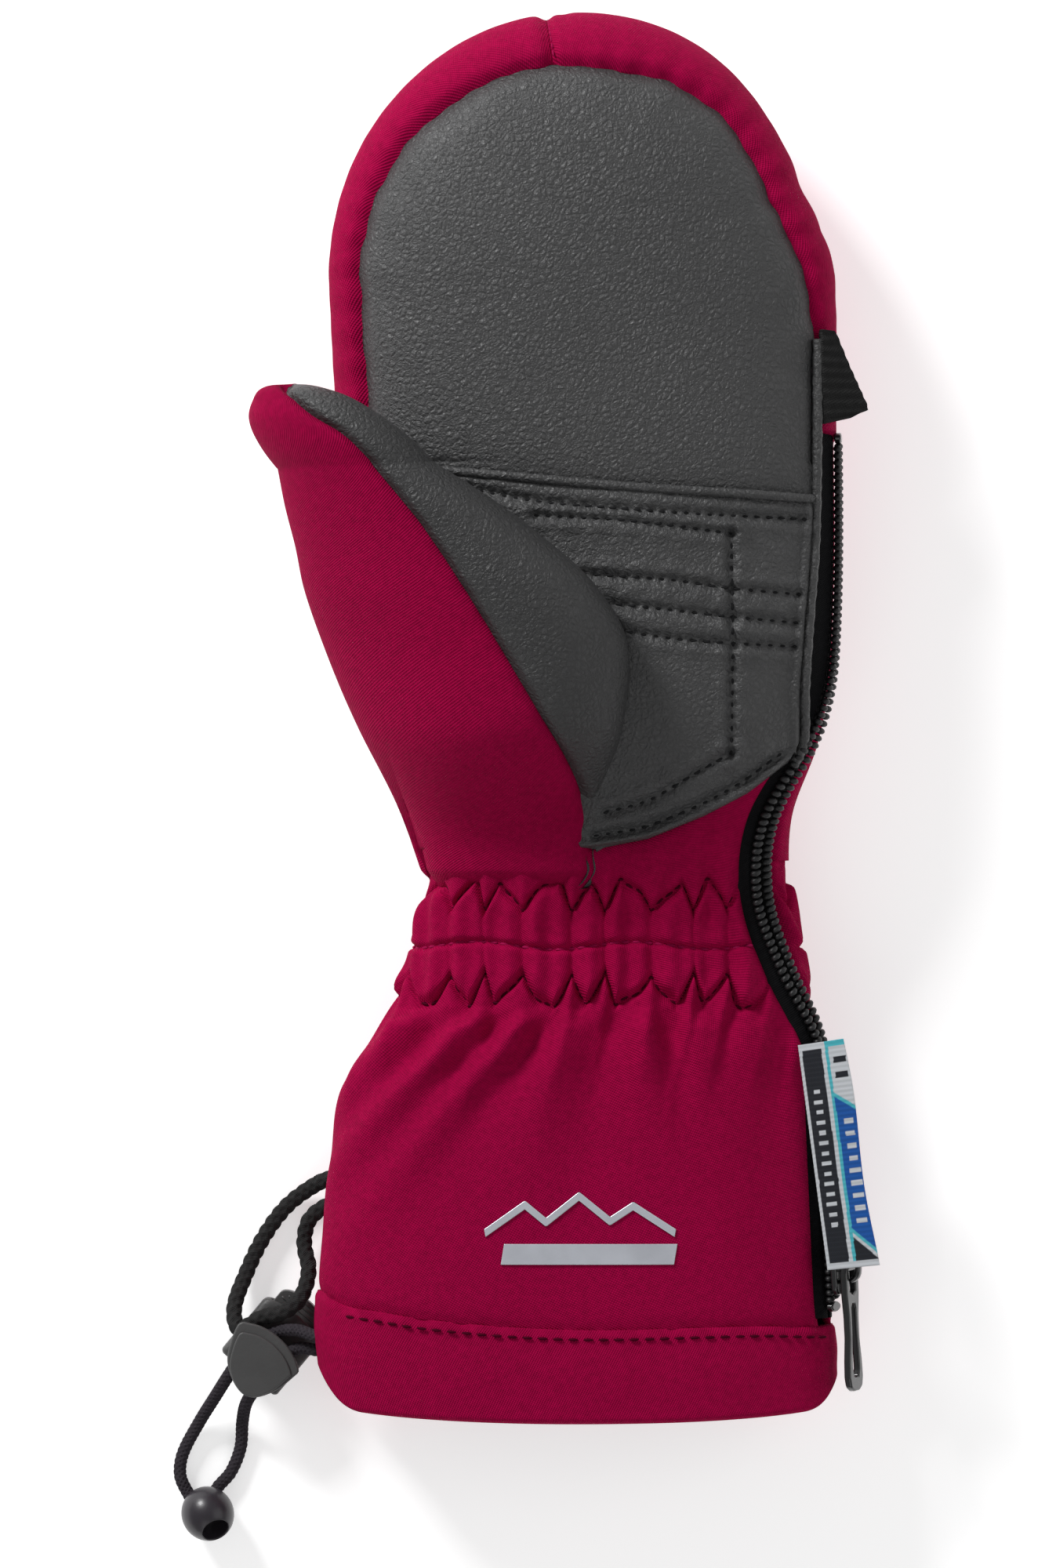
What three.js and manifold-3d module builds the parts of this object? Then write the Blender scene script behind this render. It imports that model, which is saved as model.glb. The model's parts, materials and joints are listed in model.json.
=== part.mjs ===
import * as THREE from 'three';
import Module from 'manifold-3d';

const wasm = await Module();
wasm.setup();

// A padded ski mitten for a left hand, lying on its back: +Z up through the palm, +Y to the
// fingertips, +X to the little finger. All sizes in mm.

// Body of the mitten.
const TIP_Y = 129.7;
const MOUTH_Y = -129.7;
const ARC_Y = 81.9;
const WRIST_TOP_Y = -27;
const CUFF_TOP_Y = -57;
const HEM_Y = -111;
const SECTION_POWER = 2.4;
const SINK = 0.6;
const GAP = 0.3;
const PANEL = 1.4;
const BACK_SEAM_Z = 8;
const SIDE_SEAM_Z = 13;
const TOP_SEAM_X = -5.5;

// Edges of the body as seen from above, and its half thickness, each against y.
const LEFT_EDGE = curve([
  [-129.7, -46.4], [-112, -47.7], [-88, -46], [-70, -42.4], [-60, -37.3], [-48, -30.4],
  [-38, -28.4], [-28, -26.6], [-8, -33], [20, -40], [50, -42.3], [81.9, -44.4],
]);
const RIGHT_EDGE = curve([
  [-129.7, 48.7], [-66, 45.7], [-60, 45.4], [-47, 42.2], [-31, 39.3], [-18, 39.7],
  [-4, 44.6], [12, 47.3], [50, 47.8], [81.9, 46.6],
]);
const HALF_THICKNESS = curve([
  [-129.7, 14.4], [-66, 14.4], [-60, 14.4], [-38, 13], [-26, 14.5], [0, 18], [30, 19], [81.9, 19],
]);

// Thumb: y, left edge, right edge, middle height, half thickness.
const THUMB_TILT = 0.22;
const THUMB_STATIONS = [
  [-30, -25.6, -1, 14, 10], [-16, -31.8, 2.9, 22.5, 15], [-1.4, -39.3, 8.1, 28.5, 18],
  [14, -45.8, 8.1, 33, 17.5], [24, -49.3, 2.3, 36, 16.5], [32, -50.8, -6.4, 38, 15.5],
  [39.5, -52.6, -16.5, 40, 14], [46, -53.9, -26.7, 41.5, 12.3], [51.3, -55.2, -34.9, 42.5, 10.5],
  [55, -55.8, -40.2, 43, 8.8], [57.8, -55.2, -44.4, 43.5, 6.4], [59.6, -53.9, -49, 44, 3],
];

// Layers inside the shell, as depths under the outer face.
const WADDING_DEPTH = [2.5, 3.9];
const MEMBRANE_DEPTH = [4.5, 4.9];
const LINING_DEPTH = [5.5, 6.6];
const GUSSET_DEPTH = [3.2, 3.6];
const WRIST_ELASTIC_DEPTH = [1.8, 2.5];

// Slide fastener. Its angle round the body is measured from the top of the palm.
const ZIP_ANGLE = curve([
  [-129.7, 79.3], [-66, 79.3], [-60, 79], [-46, 62], [-30, 54], [-12, 62], [4, 80], [20, 84], [54, 86],
]);
const ZIP_TOP_Y = 51;
const ZIP_END_Y = -107.5;
const TAPE_EDGE = 4.6;
const SLIDER_Y = -101.5;
const SLIDER_LENGTH = 10;
const PULLER_LENGTH = 22.8;
const PIVOT_HEIGHT = 4.3;

// Cord lock: middle of the barrel in plan, and the way the barrel points.
const LOCK_X = -55.8;
const LOCK_Y = -115.6;
const LOCK_TURN = 50;
const BUTTON_TRAVEL = 2.5;

const BEAD_CENTRE = [-68.6, -148.1, 5.1];
const BEAD_AXIS = [0.35, -0.62, 0.7];
const ELASTIC_RADIUS = 1.18;
const TETHER_RADIUS = 1.5;

// Hem of the cuff: its inner face, its curved mouth and the tunnel of the drawcord.
const HEM_INNER_DEPTH = 3.6;
const MOUTH_MIDDLE_Y = -125.3;
const MOUTH_REACH = [52, 4.4];
const HEM_CORD_Y = -119.5;
const HEM_CORD_DEPTH = 1.5;
const TUNNEL_CLEARANCE = 0.4;

// Flag label: ends, sideways taper toward its upper end, and the bend of its section.
const LABEL_TOP_Y = -59.5;
const LABEL_FOOT_Y = -101.2;
const LABEL_SEWN_X = 41;
const LABEL_FREE_X = 55.8;
const LABEL_TAPER = 3.1;
const LABEL_SHIFT = -0.4;
const LABEL_PROFILE = [
  [LABEL_SEWN_X, 23], [46, 24.7], [LABEL_FREE_X, 25.4], [LABEL_FREE_X, 26.4], [46, 25.7], [LABEL_SEWN_X, 24],
];

const FABRIC = { color: 0x92053c, roughness: 0.85, metalness: 0 };
const PINK = { color: 0xe8107e, roughness: 0.85, metalness: 0 };
const LEATHER = { color: 0x424242, roughness: 0.6, metalness: 0 };
const WEBBING = { color: 0x2c2c2c, roughness: 0.9, metalness: 0 };
const PADDING = { color: 0xe9e6df, roughness: 0.95, metalness: 0 };
const FILM = { color: 0xc9d4da, roughness: 0.4, metalness: 0 };
const FLEECE = { color: 0x3a3a40, roughness: 0.95, metalness: 0 };
const PLASTIC = { color: 0x4a4a4a, roughness: 0.5, metalness: 0 };
const METAL = { color: 0x161618, roughness: 0.25, metalness: 0.8 };
const STEEL = { color: 0xb8b8bc, roughness: 0.3, metalness: 1 };
const SILVER = { color: 0xcdd0d7, roughness: 0.35, metalness: 0.3 };
const LABEL = { color: 0x1a5fb4, roughness: 0.8, metalness: 0 };

// Smooth curve through points given as [t, value] with t rising.
function curve(points) {
  const last = points.length - 1;
  const slope = (i) => {
    const a = points[Math.max(i - 1, 0)];
    const b = points[Math.min(i + 1, last)];
    return (b[1] - a[1]) / (b[0] - a[0]);
  };
  return (t) => {
    let i = 0;
    while (i < last - 1 && t > points[i + 1][0]) i += 1;
    const [t0, v0] = points[i];
    const [t1, v1] = points[i + 1];
    const h = t1 - t0;
    const s = THREE.MathUtils.clamp((t - t0) / h, 0, 1);
    const rise = s * s * (3 - 2 * s);
    const start = slope(i) * h * s * (1 - s) * (1 - s);
    const end = slope(i + 1) * h * s * s * (s - 1);
    return v0 + (v1 - v0) * rise + start + end;
  };
}

function vec(x, y, z) {
  return new THREE.Vector3(x, y, z);
}

// Signed power keeps the sign of a sine or cosine.
function signedPower(value, power) {
  return Math.sign(value) * Math.abs(value) ** power;
}

// Cross-section of the body at y, drawn in by a depth.
function section(y, depth) {
  const base = Math.min(y, ARC_Y);
  const reach = TIP_Y - depth - ARC_Y;
  const t = THREE.MathUtils.clamp((y - ARC_Y) / reach, 0, 1);
  const width = Math.sqrt(1 - t * t);
  const height = (1 - t ** SECTION_POWER) ** (1 / SECTION_POWER);
  const left = (LEFT_EDGE(base) + depth) * width;
  const right = (RIGHT_EDGE(base) - depth) * width;
  return {
    middle: (left + right) / 2,
    half: (right - left) / 2,
    thick: (HALF_THICKNESS(base) - depth) * height,
    level: HALF_THICKNESS(base) - SINK,
  };
}

// Point of the body's surface: angle 0 is the top of the palm, 90 the little finger side.
function bodyPoint(y, angle, depth) {
  const s = section(y, depth);
  const a = THREE.MathUtils.degToRad(angle);
  const x = s.middle + s.half * signedPower(Math.sin(a), 2 / SECTION_POWER);
  const z = s.level + s.thick * signedPower(Math.cos(a), 2 / SECTION_POWER);
  return vec(x, y, Math.max(z, Math.max(depth, 0)));
}

// Height of the palm side over a point in plan.
function palmHeight(x, y, depth) {
  const s = section(y, depth);
  const out = Math.min(Math.abs(x - s.middle) / s.half, 1);
  return s.level + s.thick * (1 - out ** SECTION_POWER) ** (1 / SECTION_POWER);
}

// Closed solid from corners and triangles; turned to face outward.
function solidFrom(corners, triangles) {
  let volume = 0;
  for (const [a, b, c] of triangles) {
    volume += corners[a].dot(corners[b].clone().cross(corners[c]));
  }
  const facing = volume < 0 ? triangles.map(([a, b, c]) => [a, c, b]) : triangles;
  const mesh = new wasm.Mesh({
    numProp: 3,
    vertProperties: new Float32Array(corners.flatMap((p) => [p.x, p.y, p.z])),
    triVerts: new Uint32Array(facing.flat()),
  });
  return new wasm.Manifold(mesh);
}

// Solid through a row of rings, closed at both ends on a middle point.
function loft(rings, endPoint) {
  const n = rings[0].length;
  const corners = rings.flat();
  const triangles = [];
  for (let i = 0; i + 1 < rings.length; i += 1) {
    for (let j = 0; j < n; j += 1) {
      const a = i * n + j;
      const b = i * n + ((j + 1) % n);
      triangles.push([a, b, b + n], [a, b + n, a + n]);
    }
  }
  const middle = (ring) => ring.reduce((sum, p) => sum.add(p), vec(0, 0, 0)).divideScalar(n);
  corners.push(middle(rings[0]), endPoint ?? middle(rings[rings.length - 1]));
  const first = rings.length * n;
  const top = (rings.length - 1) * n;
  for (let j = 0; j < n; j += 1) {
    const k = (j + 1) % n;
    triangles.push([first, k, j], [first + 1, top + j, top + k]);
  }
  return solidFrom(corners, triangles);
}

// Any closed three.js shape as a solid, with matching corners joined.
function solidOf(geometry, matrix = new THREE.Matrix4()) {
  const source = geometry.index ? geometry.toNonIndexed() : geometry;
  const position = source.getAttribute('position');
  const known = new Map();
  const corners = [];
  const index = [];
  for (let i = 0; i < position.count; i += 1) {
    const p = new THREE.Vector3().fromBufferAttribute(position, i).applyMatrix4(matrix);
    const key = [p.x, p.y, p.z].map((v) => Math.round(v * 1e4)).join();
    if (!known.has(key)) known.set(key, corners.push(p) - 1);
    index.push(known.get(key));
  }
  const triangles = [];
  for (let i = 0; i < index.length; i += 3) {
    const [a, b, c] = index.slice(i, i + 3);
    if (a !== b && b !== c && c !== a) triangles.push([a, b, c]);
  }
  return solidFrom(corners, triangles);
}

function box(x0, x1, y0, y1, z0, z1, matrix) {
  const shape = new THREE.BoxGeometry(x1 - x0, y1 - y0, z1 - z0);
  shape.translate((x0 + x1) / 2, (y0 + y1) / 2, (z0 + z1) / 2);
  return solidOf(shape, matrix);
}

// Upright prism over an outline of [x, y] points.
function prism(outline, z0, z1) {
  const shape = new THREE.Shape(outline.map(([x, y]) => new THREE.Vector2(x, y)));
  const solid = new THREE.ExtrudeGeometry(shape, { depth: z1 - z0, bevelEnabled: false });
  solid.translate(0, 0, z0);
  return solidOf(solid);
}

// Points of an arc of an ellipse, in degrees.
function arc(cx, cy, rx, ry, from, to, steps) {
  return Array.from({ length: steps + 1 }, (_, i) => {
    const a = THREE.MathUtils.degToRad(from + ((to - from) * i) / steps);
    return [cx + rx * Math.cos(a), cy + ry * Math.sin(a)];
  });
}

// Round cord along a hand-laid list of points.
function cord(points, radius, steps, sides = 8) {
  const path = new THREE.CatmullRomCurve3(points.map(([x, y, z]) => vec(x, y, z)));
  const ring = arc(0, 0, radius, radius, 0, 360 - 360 / sides, sides - 1);
  const shape = new THREE.Shape(ring.map(([x, y]) => new THREE.Vector2(x, y)));
  return new THREE.ExtrudeGeometry(shape, { extrudePath: path, steps, bevelEnabled: false });
}

// Heights of the body's rings, the same at every depth so that layers stay nested.
function bodyRows(fine, depth) {
  const start = MOUTH_Y - 4;
  const steps = 22;
  const even = Array.from({ length: steps + 1 }, (_, i) => start + ((ARC_Y - start) * i) / steps);
  const rows = fine ? even : [start, -110, -88, -70, -58, -47, -36, -26, -14, 0, 20, 50, ARC_Y];
  const capRows = fine ? 6 : 3;
  for (let i = 1; i <= capRows; i += 1) {
    const turn = (Math.PI / 2) * (i / (capRows + 0.35));
    rows.push(ARC_Y + (TIP_Y - depth - ARC_Y) * Math.sin(turn));
  }
  return rows;
}

// Solid body out to a depth, fine for the shell and coarse for the hidden layers.
function body(depth, fine = true) {
  const sides = fine ? 28 : 14;
  const rings = bodyRows(fine, depth).map((y) => Array.from({ length: sides }, (_, j) =>
    bodyPoint(y, (360 * j) / sides, depth)));
  return loft(rings, vec(0, TIP_Y - depth, section(ARC_Y, 0).level));
}

// Solid thumb out to a depth.
function thumb(depth, sides = 16) {
  const rings = [];
  let end;
  for (const [row, left, right, level, thick] of THUMB_STATIONS) {
    const half = (right - left) / 2 - depth;
    const tall = thick - depth;
    if (Math.min(half, tall) < 0.9) continue;
    const middle = (left + right) / 2;
    rings.push(Array.from({ length: sides }, (_, j) => {
      const a = (2 * Math.PI * j) / sides;
      const x = half * Math.sin(a);
      return vec(middle + x, row, Math.max(level + tall * Math.cos(a) + THUMB_TILT * x, 4 + depth));
    }));
    end = vec(middle, row + Math.min(half, tall) * 0.3, level);
  }
  return loft(rings, end);
}

// Everything between two depths of the body, between two heights.
function shell(outer, inner, from, to) {
  return body(outer).subtract(body(inner)).intersect(box(-90, 90, from, to, -20, 90));
}

// Middle line of the slide fastener: point, way along, way out and way across.
function zipFrame(y) {
  const at = (v, turn) => bodyPoint(v, ZIP_ANGLE(v) + turn, 0);
  const along = at(y + 0.5, 0).sub(at(y - 0.5, 0)).normalize();
  const round = at(y, 1).sub(at(y, -1)).normalize();
  const out = along.clone().cross(round).normalize();
  if (out.dot(vec(1, 0, 1)) < 0) out.negate();
  const across = along.clone().cross(out).normalize();
  return { point: at(y, 0), along, out, across };
}

// Strip along the fastener with a flat profile of [across, out] points.
function zipStrip(from, to, profile, steps = 26) {
  const rings = Array.from({ length: steps + 1 }, (_, i) => {
    const f = zipFrame(from + ((to - from) * i) / steps);
    return profile.map(([a, n]) =>
      f.point.clone().addScaledVector(f.across, a).addScaledVector(f.out, n));
  });
  return loft(rings);
}

function mirrored(profile, side) {
  return profile.map(([a, n]) => [a * side, n]);
}

// Tapes lie in the slot and turn down toward the panels they are sewn to.
function zipTape(side) {
  const profile = [
    [0.6, -0.1], [2.4, -0.1], [TAPE_EDGE, -1.1], [TAPE_EDGE, -1.9], [2.4, -0.9], [0.6, -0.9],
  ];
  return zipStrip(HEM_Y + GAP, ZIP_TOP_Y + 2, mirrored(profile, side));
}

function zipCoil(side) {
  const profile = [[0.5, 0.5], [0.9, 0.2], [1.7, 0.2], [2.1, 0.6], [1.9, 1.3], [1.2, 1.6], [0.5, 1.2]];
  return zipStrip(ZIP_END_Y, ZIP_TOP_Y, mirrored(profile, side));
}

function zipStop(y, length) {
  return zipStrip(y, y + length, [[-2.2, 0.2], [2.2, 0.2], [2.2, 1.6], [-2.2, 1.6]], 1);
}

function zipSlot() {
  const edge = TAPE_EDGE + 2 * GAP;
  return zipStrip(HEM_Y, ZIP_TOP_Y + 2.5, [[-edge, -6], [edge, -6], [edge, 4], [-edge, 4]]);
}

// Frame of the slider: x across the teeth, y along them, z out.
function sliderMatrix() {
  const f = zipFrame(SLIDER_Y);
  return new THREE.Matrix4().makeBasis(f.across, f.along, f.out).setPosition(f.point);
}

function sliderBody() {
  const m = sliderMatrix();
  const half = SLIDER_LENGTH / 2;
  const outer = box(-3.6, 3.6, -half, half, 1.9, 3.1, m);
  const inner = box(-3.4, 3.4, -half, half, -2.9, -2.1, m);
  const wedge = box(-0.2, 0.2, -half, -half + 3, -2.2, 2, m);
  const posts = box(-0.9, 0.9, -2.7, -1.7, 3, 6, m).add(box(-0.9, 0.9, 1.7, 2.7, 3, 6, m));
  const bridge = box(-0.9, 0.9, -2.7, 2.7, 5.6, 6.6, m);
  return outer.add(inner).add(wedge).add(posts).add(bridge);
}

// Flat outline of the puller with a window for the slider's bridge and a long slot.
function sliderPuller() {
  const m = sliderMatrix();
  const end = -PULLER_LENGTH;
  const outline = [
    [-2.7, 0.5], [-2.9, -4], [-2.3, -12], ...arc(0, end + 3, 3.1, 3, 180, 360, 8),
    [2.3, -12], [2.9, -4], [2.7, 0.5],
  ];
  const plate = prism(outline, PIVOT_HEIGHT - 0.7, PIVOT_HEIGHT + 0.7);
  const window = box(-1.4, 1.4, -4.6, 3, 0, 9);
  const slot = prism([
    ...arc(0, end + 3, 1.6, 1.6, 180, 360, 6), [1.2, end + 9.5], [-1.2, end + 9.5],
  ], 0, 9);
  const pin = solidOf(new THREE.CylinderGeometry(0.75, 0.75, 5, 12).rotateZ(Math.PI / 2)
    .translate(0, 0, PIVOT_HEIGHT));
  return plate.subtract(window).subtract(slot).add(pin).transform(m.elements);
}

// Plan outlines of the palm panels.
const PALM_TOP = arc(0.6, 63, 40.6, 57, 172, 6, 18);
const PALM_RIGHT_X = 44.2;
const PIPING_Y = [45.5, 40.4];

function palmOutline() {
  return [
    ...PALM_TOP, [PALM_RIGHT_X, 68.5], [43.8, PIPING_Y[1] + GAP], [-38.6, PIPING_Y[0] + GAP],
  ];
}

function patchOutline() {
  return [
    [-38.4, PIPING_Y[0]], [43.8, PIPING_Y[1]], [42.5, 18], [41.2, -4], [39.2, -8],
    [31.5, -13.8], [23.6, -17.9], [13.3, -22.1], [3.2, -23.9], [-16, -24], [-27, -20],
    [-33, 0], [-37, 22],
  ];
}

// Part of the body's top that is not palm: the band round the fingers and the left side.
function fingerBand(side, hand, cutters) {
  const band = side < 0
    ? box(-90, TOP_SEAM_X - GAP / 2, WRIST_TOP_Y, 140, BACK_SEAM_Z + GAP, 70)
    : box(TOP_SEAM_X + GAP / 2, 90, ZIP_TOP_Y + 3, 140, BACK_SEAM_Z + GAP, 70);
  let piece = hand.intersect(band);
  for (const cutter of cutters) piece = piece.subtract(cutter);
  return piece;
}

function largest(solid) {
  const pieces = solid.decompose();
  return pieces.reduce((best, p) => (p.volume() > best.volume() ? p : best));
}

// Drawcord inside the hem: out of the left edge above the side seam, round, and back below it.
function hemCord(radius, steps) {
  const turns = [-86, -66, -40, -12, 16, 44, 68, 90, 112, 136, 164, 192, 220, 246, 266];
  return solidOf(cord(turns.map((turn, i) => {
    const atExit = i === 0 || i === turns.length - 1;
    const p = bodyPoint(HEM_CORD_Y, turn, atExit ? -1.6 : HEM_CORD_DEPTH);
    return [p.x, p.y, Math.max(p.z, 2.2)];
  }), radius, steps));
}

function hemMouth() {
  return [
    ...arc(0, MOUTH_MIDDLE_Y, ...MOUTH_REACH, 180, 360, 12), [70, HEM_Y - GAP], [-70, HEM_Y - GAP],
  ];
}

function cuffHem() {
  const wall = shell(-SINK, HEM_INNER_DEPTH, MOUTH_Y, HEM_Y - GAP);
  return wall.intersect(prism(hemMouth(), -5, 60)).subtract(hemCord(ELASTIC_RADIUS + TUNNEL_CLEARANCE, 44));
}

// Frame of the cord lock: x along the barrel to the button, z up.
function lockMatrix() {
  const turn = new THREE.Matrix4().makeRotationZ(THREE.MathUtils.degToRad(LOCK_TURN));
  return turn.setPosition(LOCK_X, LOCK_Y, 0);
}

function lockBarrel(x0, x1, half, z0, z1, bulge) {
  const outline = [
    [x0, -half], ...arc(x1 - bulge, 0, bulge, half, -90, 90, 8), [x0, half],
  ];
  return prism(outline, z0, z1);
}

function lockBody() {
  const barrel = lockBarrel(-8.2, 6.2, 6.7, 0.4, 7, 2.2);
  const neck = solidOf(new THREE.CylinderGeometry(1.5, 1.8, 5, 14).rotateX(Math.PI / 2)
    .translate(-3.4, 0, 8.9));
  const shieldOutline = [
    ...arc(-5.2, 0, 6.2, 6.9, 72, -72, 10), [-7.4, -6.5], [-10.6, -3.6], [-11.8, 0.6],
    [-10, 4.4], [-6.6, 6.6],
  ];
  const shield = prism(shieldOutline, 10.7, 12.4);
  const dish = prism(shieldOutline.map(([x, y]) => [-5.3 + (x + 5.3) * 0.82, y * 0.82]), 12, 14);
  const bore = lockBarrel(-6.6, 9, 5.4, 1.4, 6, 1);
  return barrel.add(neck).add(shield.subtract(dish)).subtract(bore).transform(lockMatrix().elements);
}

function lockButton() {
  const stem = lockBarrel(-3, 9.4, 5.1, 1.7, 5.7, 2.2);
  const well = solidOf(new THREE.CylinderGeometry(1.75, 1.75, 6, 12).rotateZ(Math.PI / 2)
    .translate(-0.6, 0, 3.7));
  const grooves = box(7.1, 7.5, -6, 6, 5.3, 6).add(box(8, 8.4, -6, 6, 5.3, 6));
  return stem.subtract(well).subtract(grooves).transform(lockMatrix().elements);
}

function lockSpring() {
  const turns = 4;
  const points = Array.from({ length: turns * 6 + 1 }, (_, i) => {
    const a = (Math.PI * i) / 3;
    return [-6.2 + (5.4 * i) / (turns * 6), 1.2 * Math.cos(a), 3.7 + 1.2 * Math.sin(a)];
  });
  return solidOf(cord(points, 0.25, 48, 6), lockMatrix());
}

// Free cords, laid by hand from the mitten to the lock and the bead.
const ELASTIC_OUTER = [
  [-43.5, -115.6, 15.2], [-47.5, -114.6, 14.6], [-52, -113.4, 11.2], [-56.5, -114.2, 8.9],
  [-61, -116.8, 8.9], [-64.2, -121.4, 8.6], [-67.2, -126.2, 5], [-70.4, -131.4, 2],
  [-73.4, -137.2, 1.4], [-73.9, -141.2, 1.4], [-72.4, -144.6, 1.7], [-69.8, -148, 4.4],
];
const ELASTIC_INNER = [
  [-43.5, -117.6, 11.8], [-47.5, -117.2, 11.2], [-51.8, -117, 9.3], [-55.4, -119.8, 8.9],
  [-58.6, -123.4, 8.9], [-61.2, -127, 6.4], [-62.2, -131, 2.6], [-62.6, -136, 1.4],
  [-64.4, -140.6, 1.4], [-67.2, -144, 1.9], [-68.2, -148, 4.4],
];
const TETHER = [
  [-40, -85.4, 7.4], [-45.6, -85.4, 6], [-50.2, -87.8, 2.8], [-54.5, -91.4, 1.8],
  [-58.6, -97.2, 1.7], [-61.6, -103.6, 2.6], [-63.6, -109.6, 6.4], [-62.6, -113.3, 8.9],
  [-58.4, -111.2, 9], [-54.4, -110.2, 9.4], [-51.2, -107.6, 8.8], [-49.7, -102.6, 6.4],
  [-50.6, -97.6, 4.2], [-49.6, -93.2, 4.6], [-46, -90.4, 6], [-40, -89.4, 7.4],
];

function beadMatrix() {
  const turn = new THREE.Quaternion().setFromUnitVectors(vec(0, 1, 0), vec(...BEAD_AXIS).normalize());
  return new THREE.Matrix4().makeRotationFromQuaternion(turn).setPosition(...BEAD_CENTRE);
}

function bead() {
  const outline = arc(0, 0, 4.9, 5.3, -60, 60, 8).map(([r, h]) => new THREE.Vector2(r, h));
  outline.push(outline[0].clone());
  return solidOf(new THREE.LatheGeometry(outline, 16), beadMatrix());
}

// Flag label: lies on the cuff at its sewn edge and stands clear of the fastener.
function flagLabel() {
  const ring = (y, taper, shift) => LABEL_PROFILE.map(([x, z]) => {
    const inward = (taper * (x - LABEL_SEWN_X)) / (LABEL_FREE_X - LABEL_SEWN_X);
    return vec(x - inward + shift, y, z);
  });
  const rings = [ring(LABEL_TOP_Y, LABEL_TAPER, LABEL_SHIFT), ring(LABEL_FOOT_Y, 0, 0)];
  return loft(rings).subtract(body(-GAP));
}

function ribbonTab() {
  const outline = [
    [46.3, 71.4], [47.9, 71.4], [50.5, 65.5], [53.9, 57.7], [53.8, 57], [50.8, 55.9], [46.3, 54.6],
  ];
  const profile = [[44, 28.6], [54.6, 22.6], [54.6, 24.2], [44, 30.2]];
  const slab = loft([50, 75].map((y) => profile.map(([x, z]) => vec(x, y, z))));
  return slab.intersect(prism(outline, 0, 50)).subtract(body(-1.2));
}

// Rolled edge laid just clear of the palm, through points in plan.
function piping(points, radius, lift, steps) {
  return cord(points.map(([x, y]) => {
    return [x, y, palmHeight(x, y, 0) + lift];
  }), radius, steps);
}

const group = new THREE.Group();

function add(name, solid, look) {
  let geometry = solid;
  if (!solid.isBufferGeometry) {
    const mesh = solid.getMesh();
    geometry = new THREE.BufferGeometry();
    geometry.setAttribute('position', new THREE.BufferAttribute(mesh.vertProperties, mesh.numProp));
    geometry.setIndex(new THREE.BufferAttribute(mesh.triVerts, 1));
  }
  const node = new THREE.Mesh(geometry, new THREE.MeshStandardMaterial(look));
  node.name = name;
  group.add(node);
}

function addHand() {
  const hand = shell(0, PANEL, WRIST_TOP_Y, 200);
  const palm = prism(palmOutline(), section(ARC_Y, 0).level + 3, 60);
  const patch = prism(patchOutline(), SIDE_SEAM_Z + 4, 60);
  const hole = thumb(-GAP);
  const slot = zipSlot();
  const cutters = [palm, patch, hole, slot];
  const grow = (outline, cx, cy) => outline.map(([x, y]) => {
    const d = Math.hypot(x - cx, y - cy);
    return [cx + (x - cx) * (1 - GAP / d), cy + (y - cy) * (1 - GAP / d)];
  });
  const palmIn = prism(grow(palmOutline(), 2, 70), section(ARC_Y, 0).level + 3.3, 60);
  const patchIn = prism(grow(patchOutline(), 4, 10), SIDE_SEAM_Z + 4.3, 60);
  add('palm_leather', largest(hand.intersect(palmIn).subtract(hole).subtract(slot)), LEATHER);
  add('palm_patch', largest(hand.intersect(patchIn).subtract(hole).subtract(slot)), LEATHER);
  add('finger_band_left', largest(fingerBand(-1, hand, cutters)), FABRIC);
  add('finger_band_right', largest(fingerBand(1, hand, cutters)), FABRIC);
  const back = hand.intersect(box(-90, 90, WRIST_TOP_Y, 140, -5, BACK_SEAM_Z)).subtract(slot);
  const pink = box(14, 90, 36, 112, -5, BACK_SEAM_Z);
  const pinkEdge = box(14 - GAP, 90, 36 - GAP, 112 + GAP, -5, BACK_SEAM_Z + 1);
  add('back_panel', largest(back.subtract(pinkEdge)), FABRIC);
  add('back_knuckle_panel', largest(back.intersect(pink)), PINK);
}

function addThumb() {
  const seam = [
    [-52.2, 59.2], [-42.6, 52.1], [-33.4, 41.5], [-20.3, 23], [-6.4, 0], [0, -10.2], [3.2, -24],
  ];
  const right = prism([...seam, [3.2, -40], [60, -40], [60, 70], [-52.2, 70]], -5, 90);
  const wall = thumb(0).subtract(thumb(PANEL)).subtract(body(-GAP));
  const seamIn = seam.map(([x, y]) => [x + GAP, y + GAP / 2]);
  const rightIn = prism([...seamIn, [3.5, -40], [60, -40], [60, 70], [-51.9, 70]], -5, 90);
  add('thumb_outer', largest(wall.subtract(right)), FABRIC);
  add('thumb_inner', largest(wall.intersect(rightIn)), LEATHER);
}

function addWrist() {
  const wrist = shell(0, PANEL, CUFF_TOP_Y + GAP, 0).subtract(zipSlot()).subtract(thumb(-GAP));
  const front = wrist.intersect(box(-90, 90, -80, -3, SIDE_SEAM_Z, 60));
  const back = wrist.intersect(box(-90, 90, -80, WRIST_TOP_Y - GAP, -5, SIDE_SEAM_Z - GAP));
  const handSide = box(-90, -20, WRIST_TOP_Y - GAP, 5, -5, 60);
  const patch = prism(patchOutline().map(([x, y]) => [x * 1.01, y - GAP]), 0, 60);
  const lower = box(-90, 90, -80, WRIST_TOP_Y - GAP, -5, 60);
  add('wrist_front', largest(front.subtract(patch).subtract(handSide).intersect(lower)), FABRIC);
  add('wrist_back', largest(back), FABRIC);
  const ring = shell(...WRIST_ELASTIC_DEPTH, -49, -34);
  add('wrist_elastic_front', ring.intersect(box(-26, 16, -60, 0, 14, 60)), WEBBING);
  add('wrist_elastic_back', ring.intersect(box(-26, 26, -60, 0, -5, 11)), WEBBING);
}

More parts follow.
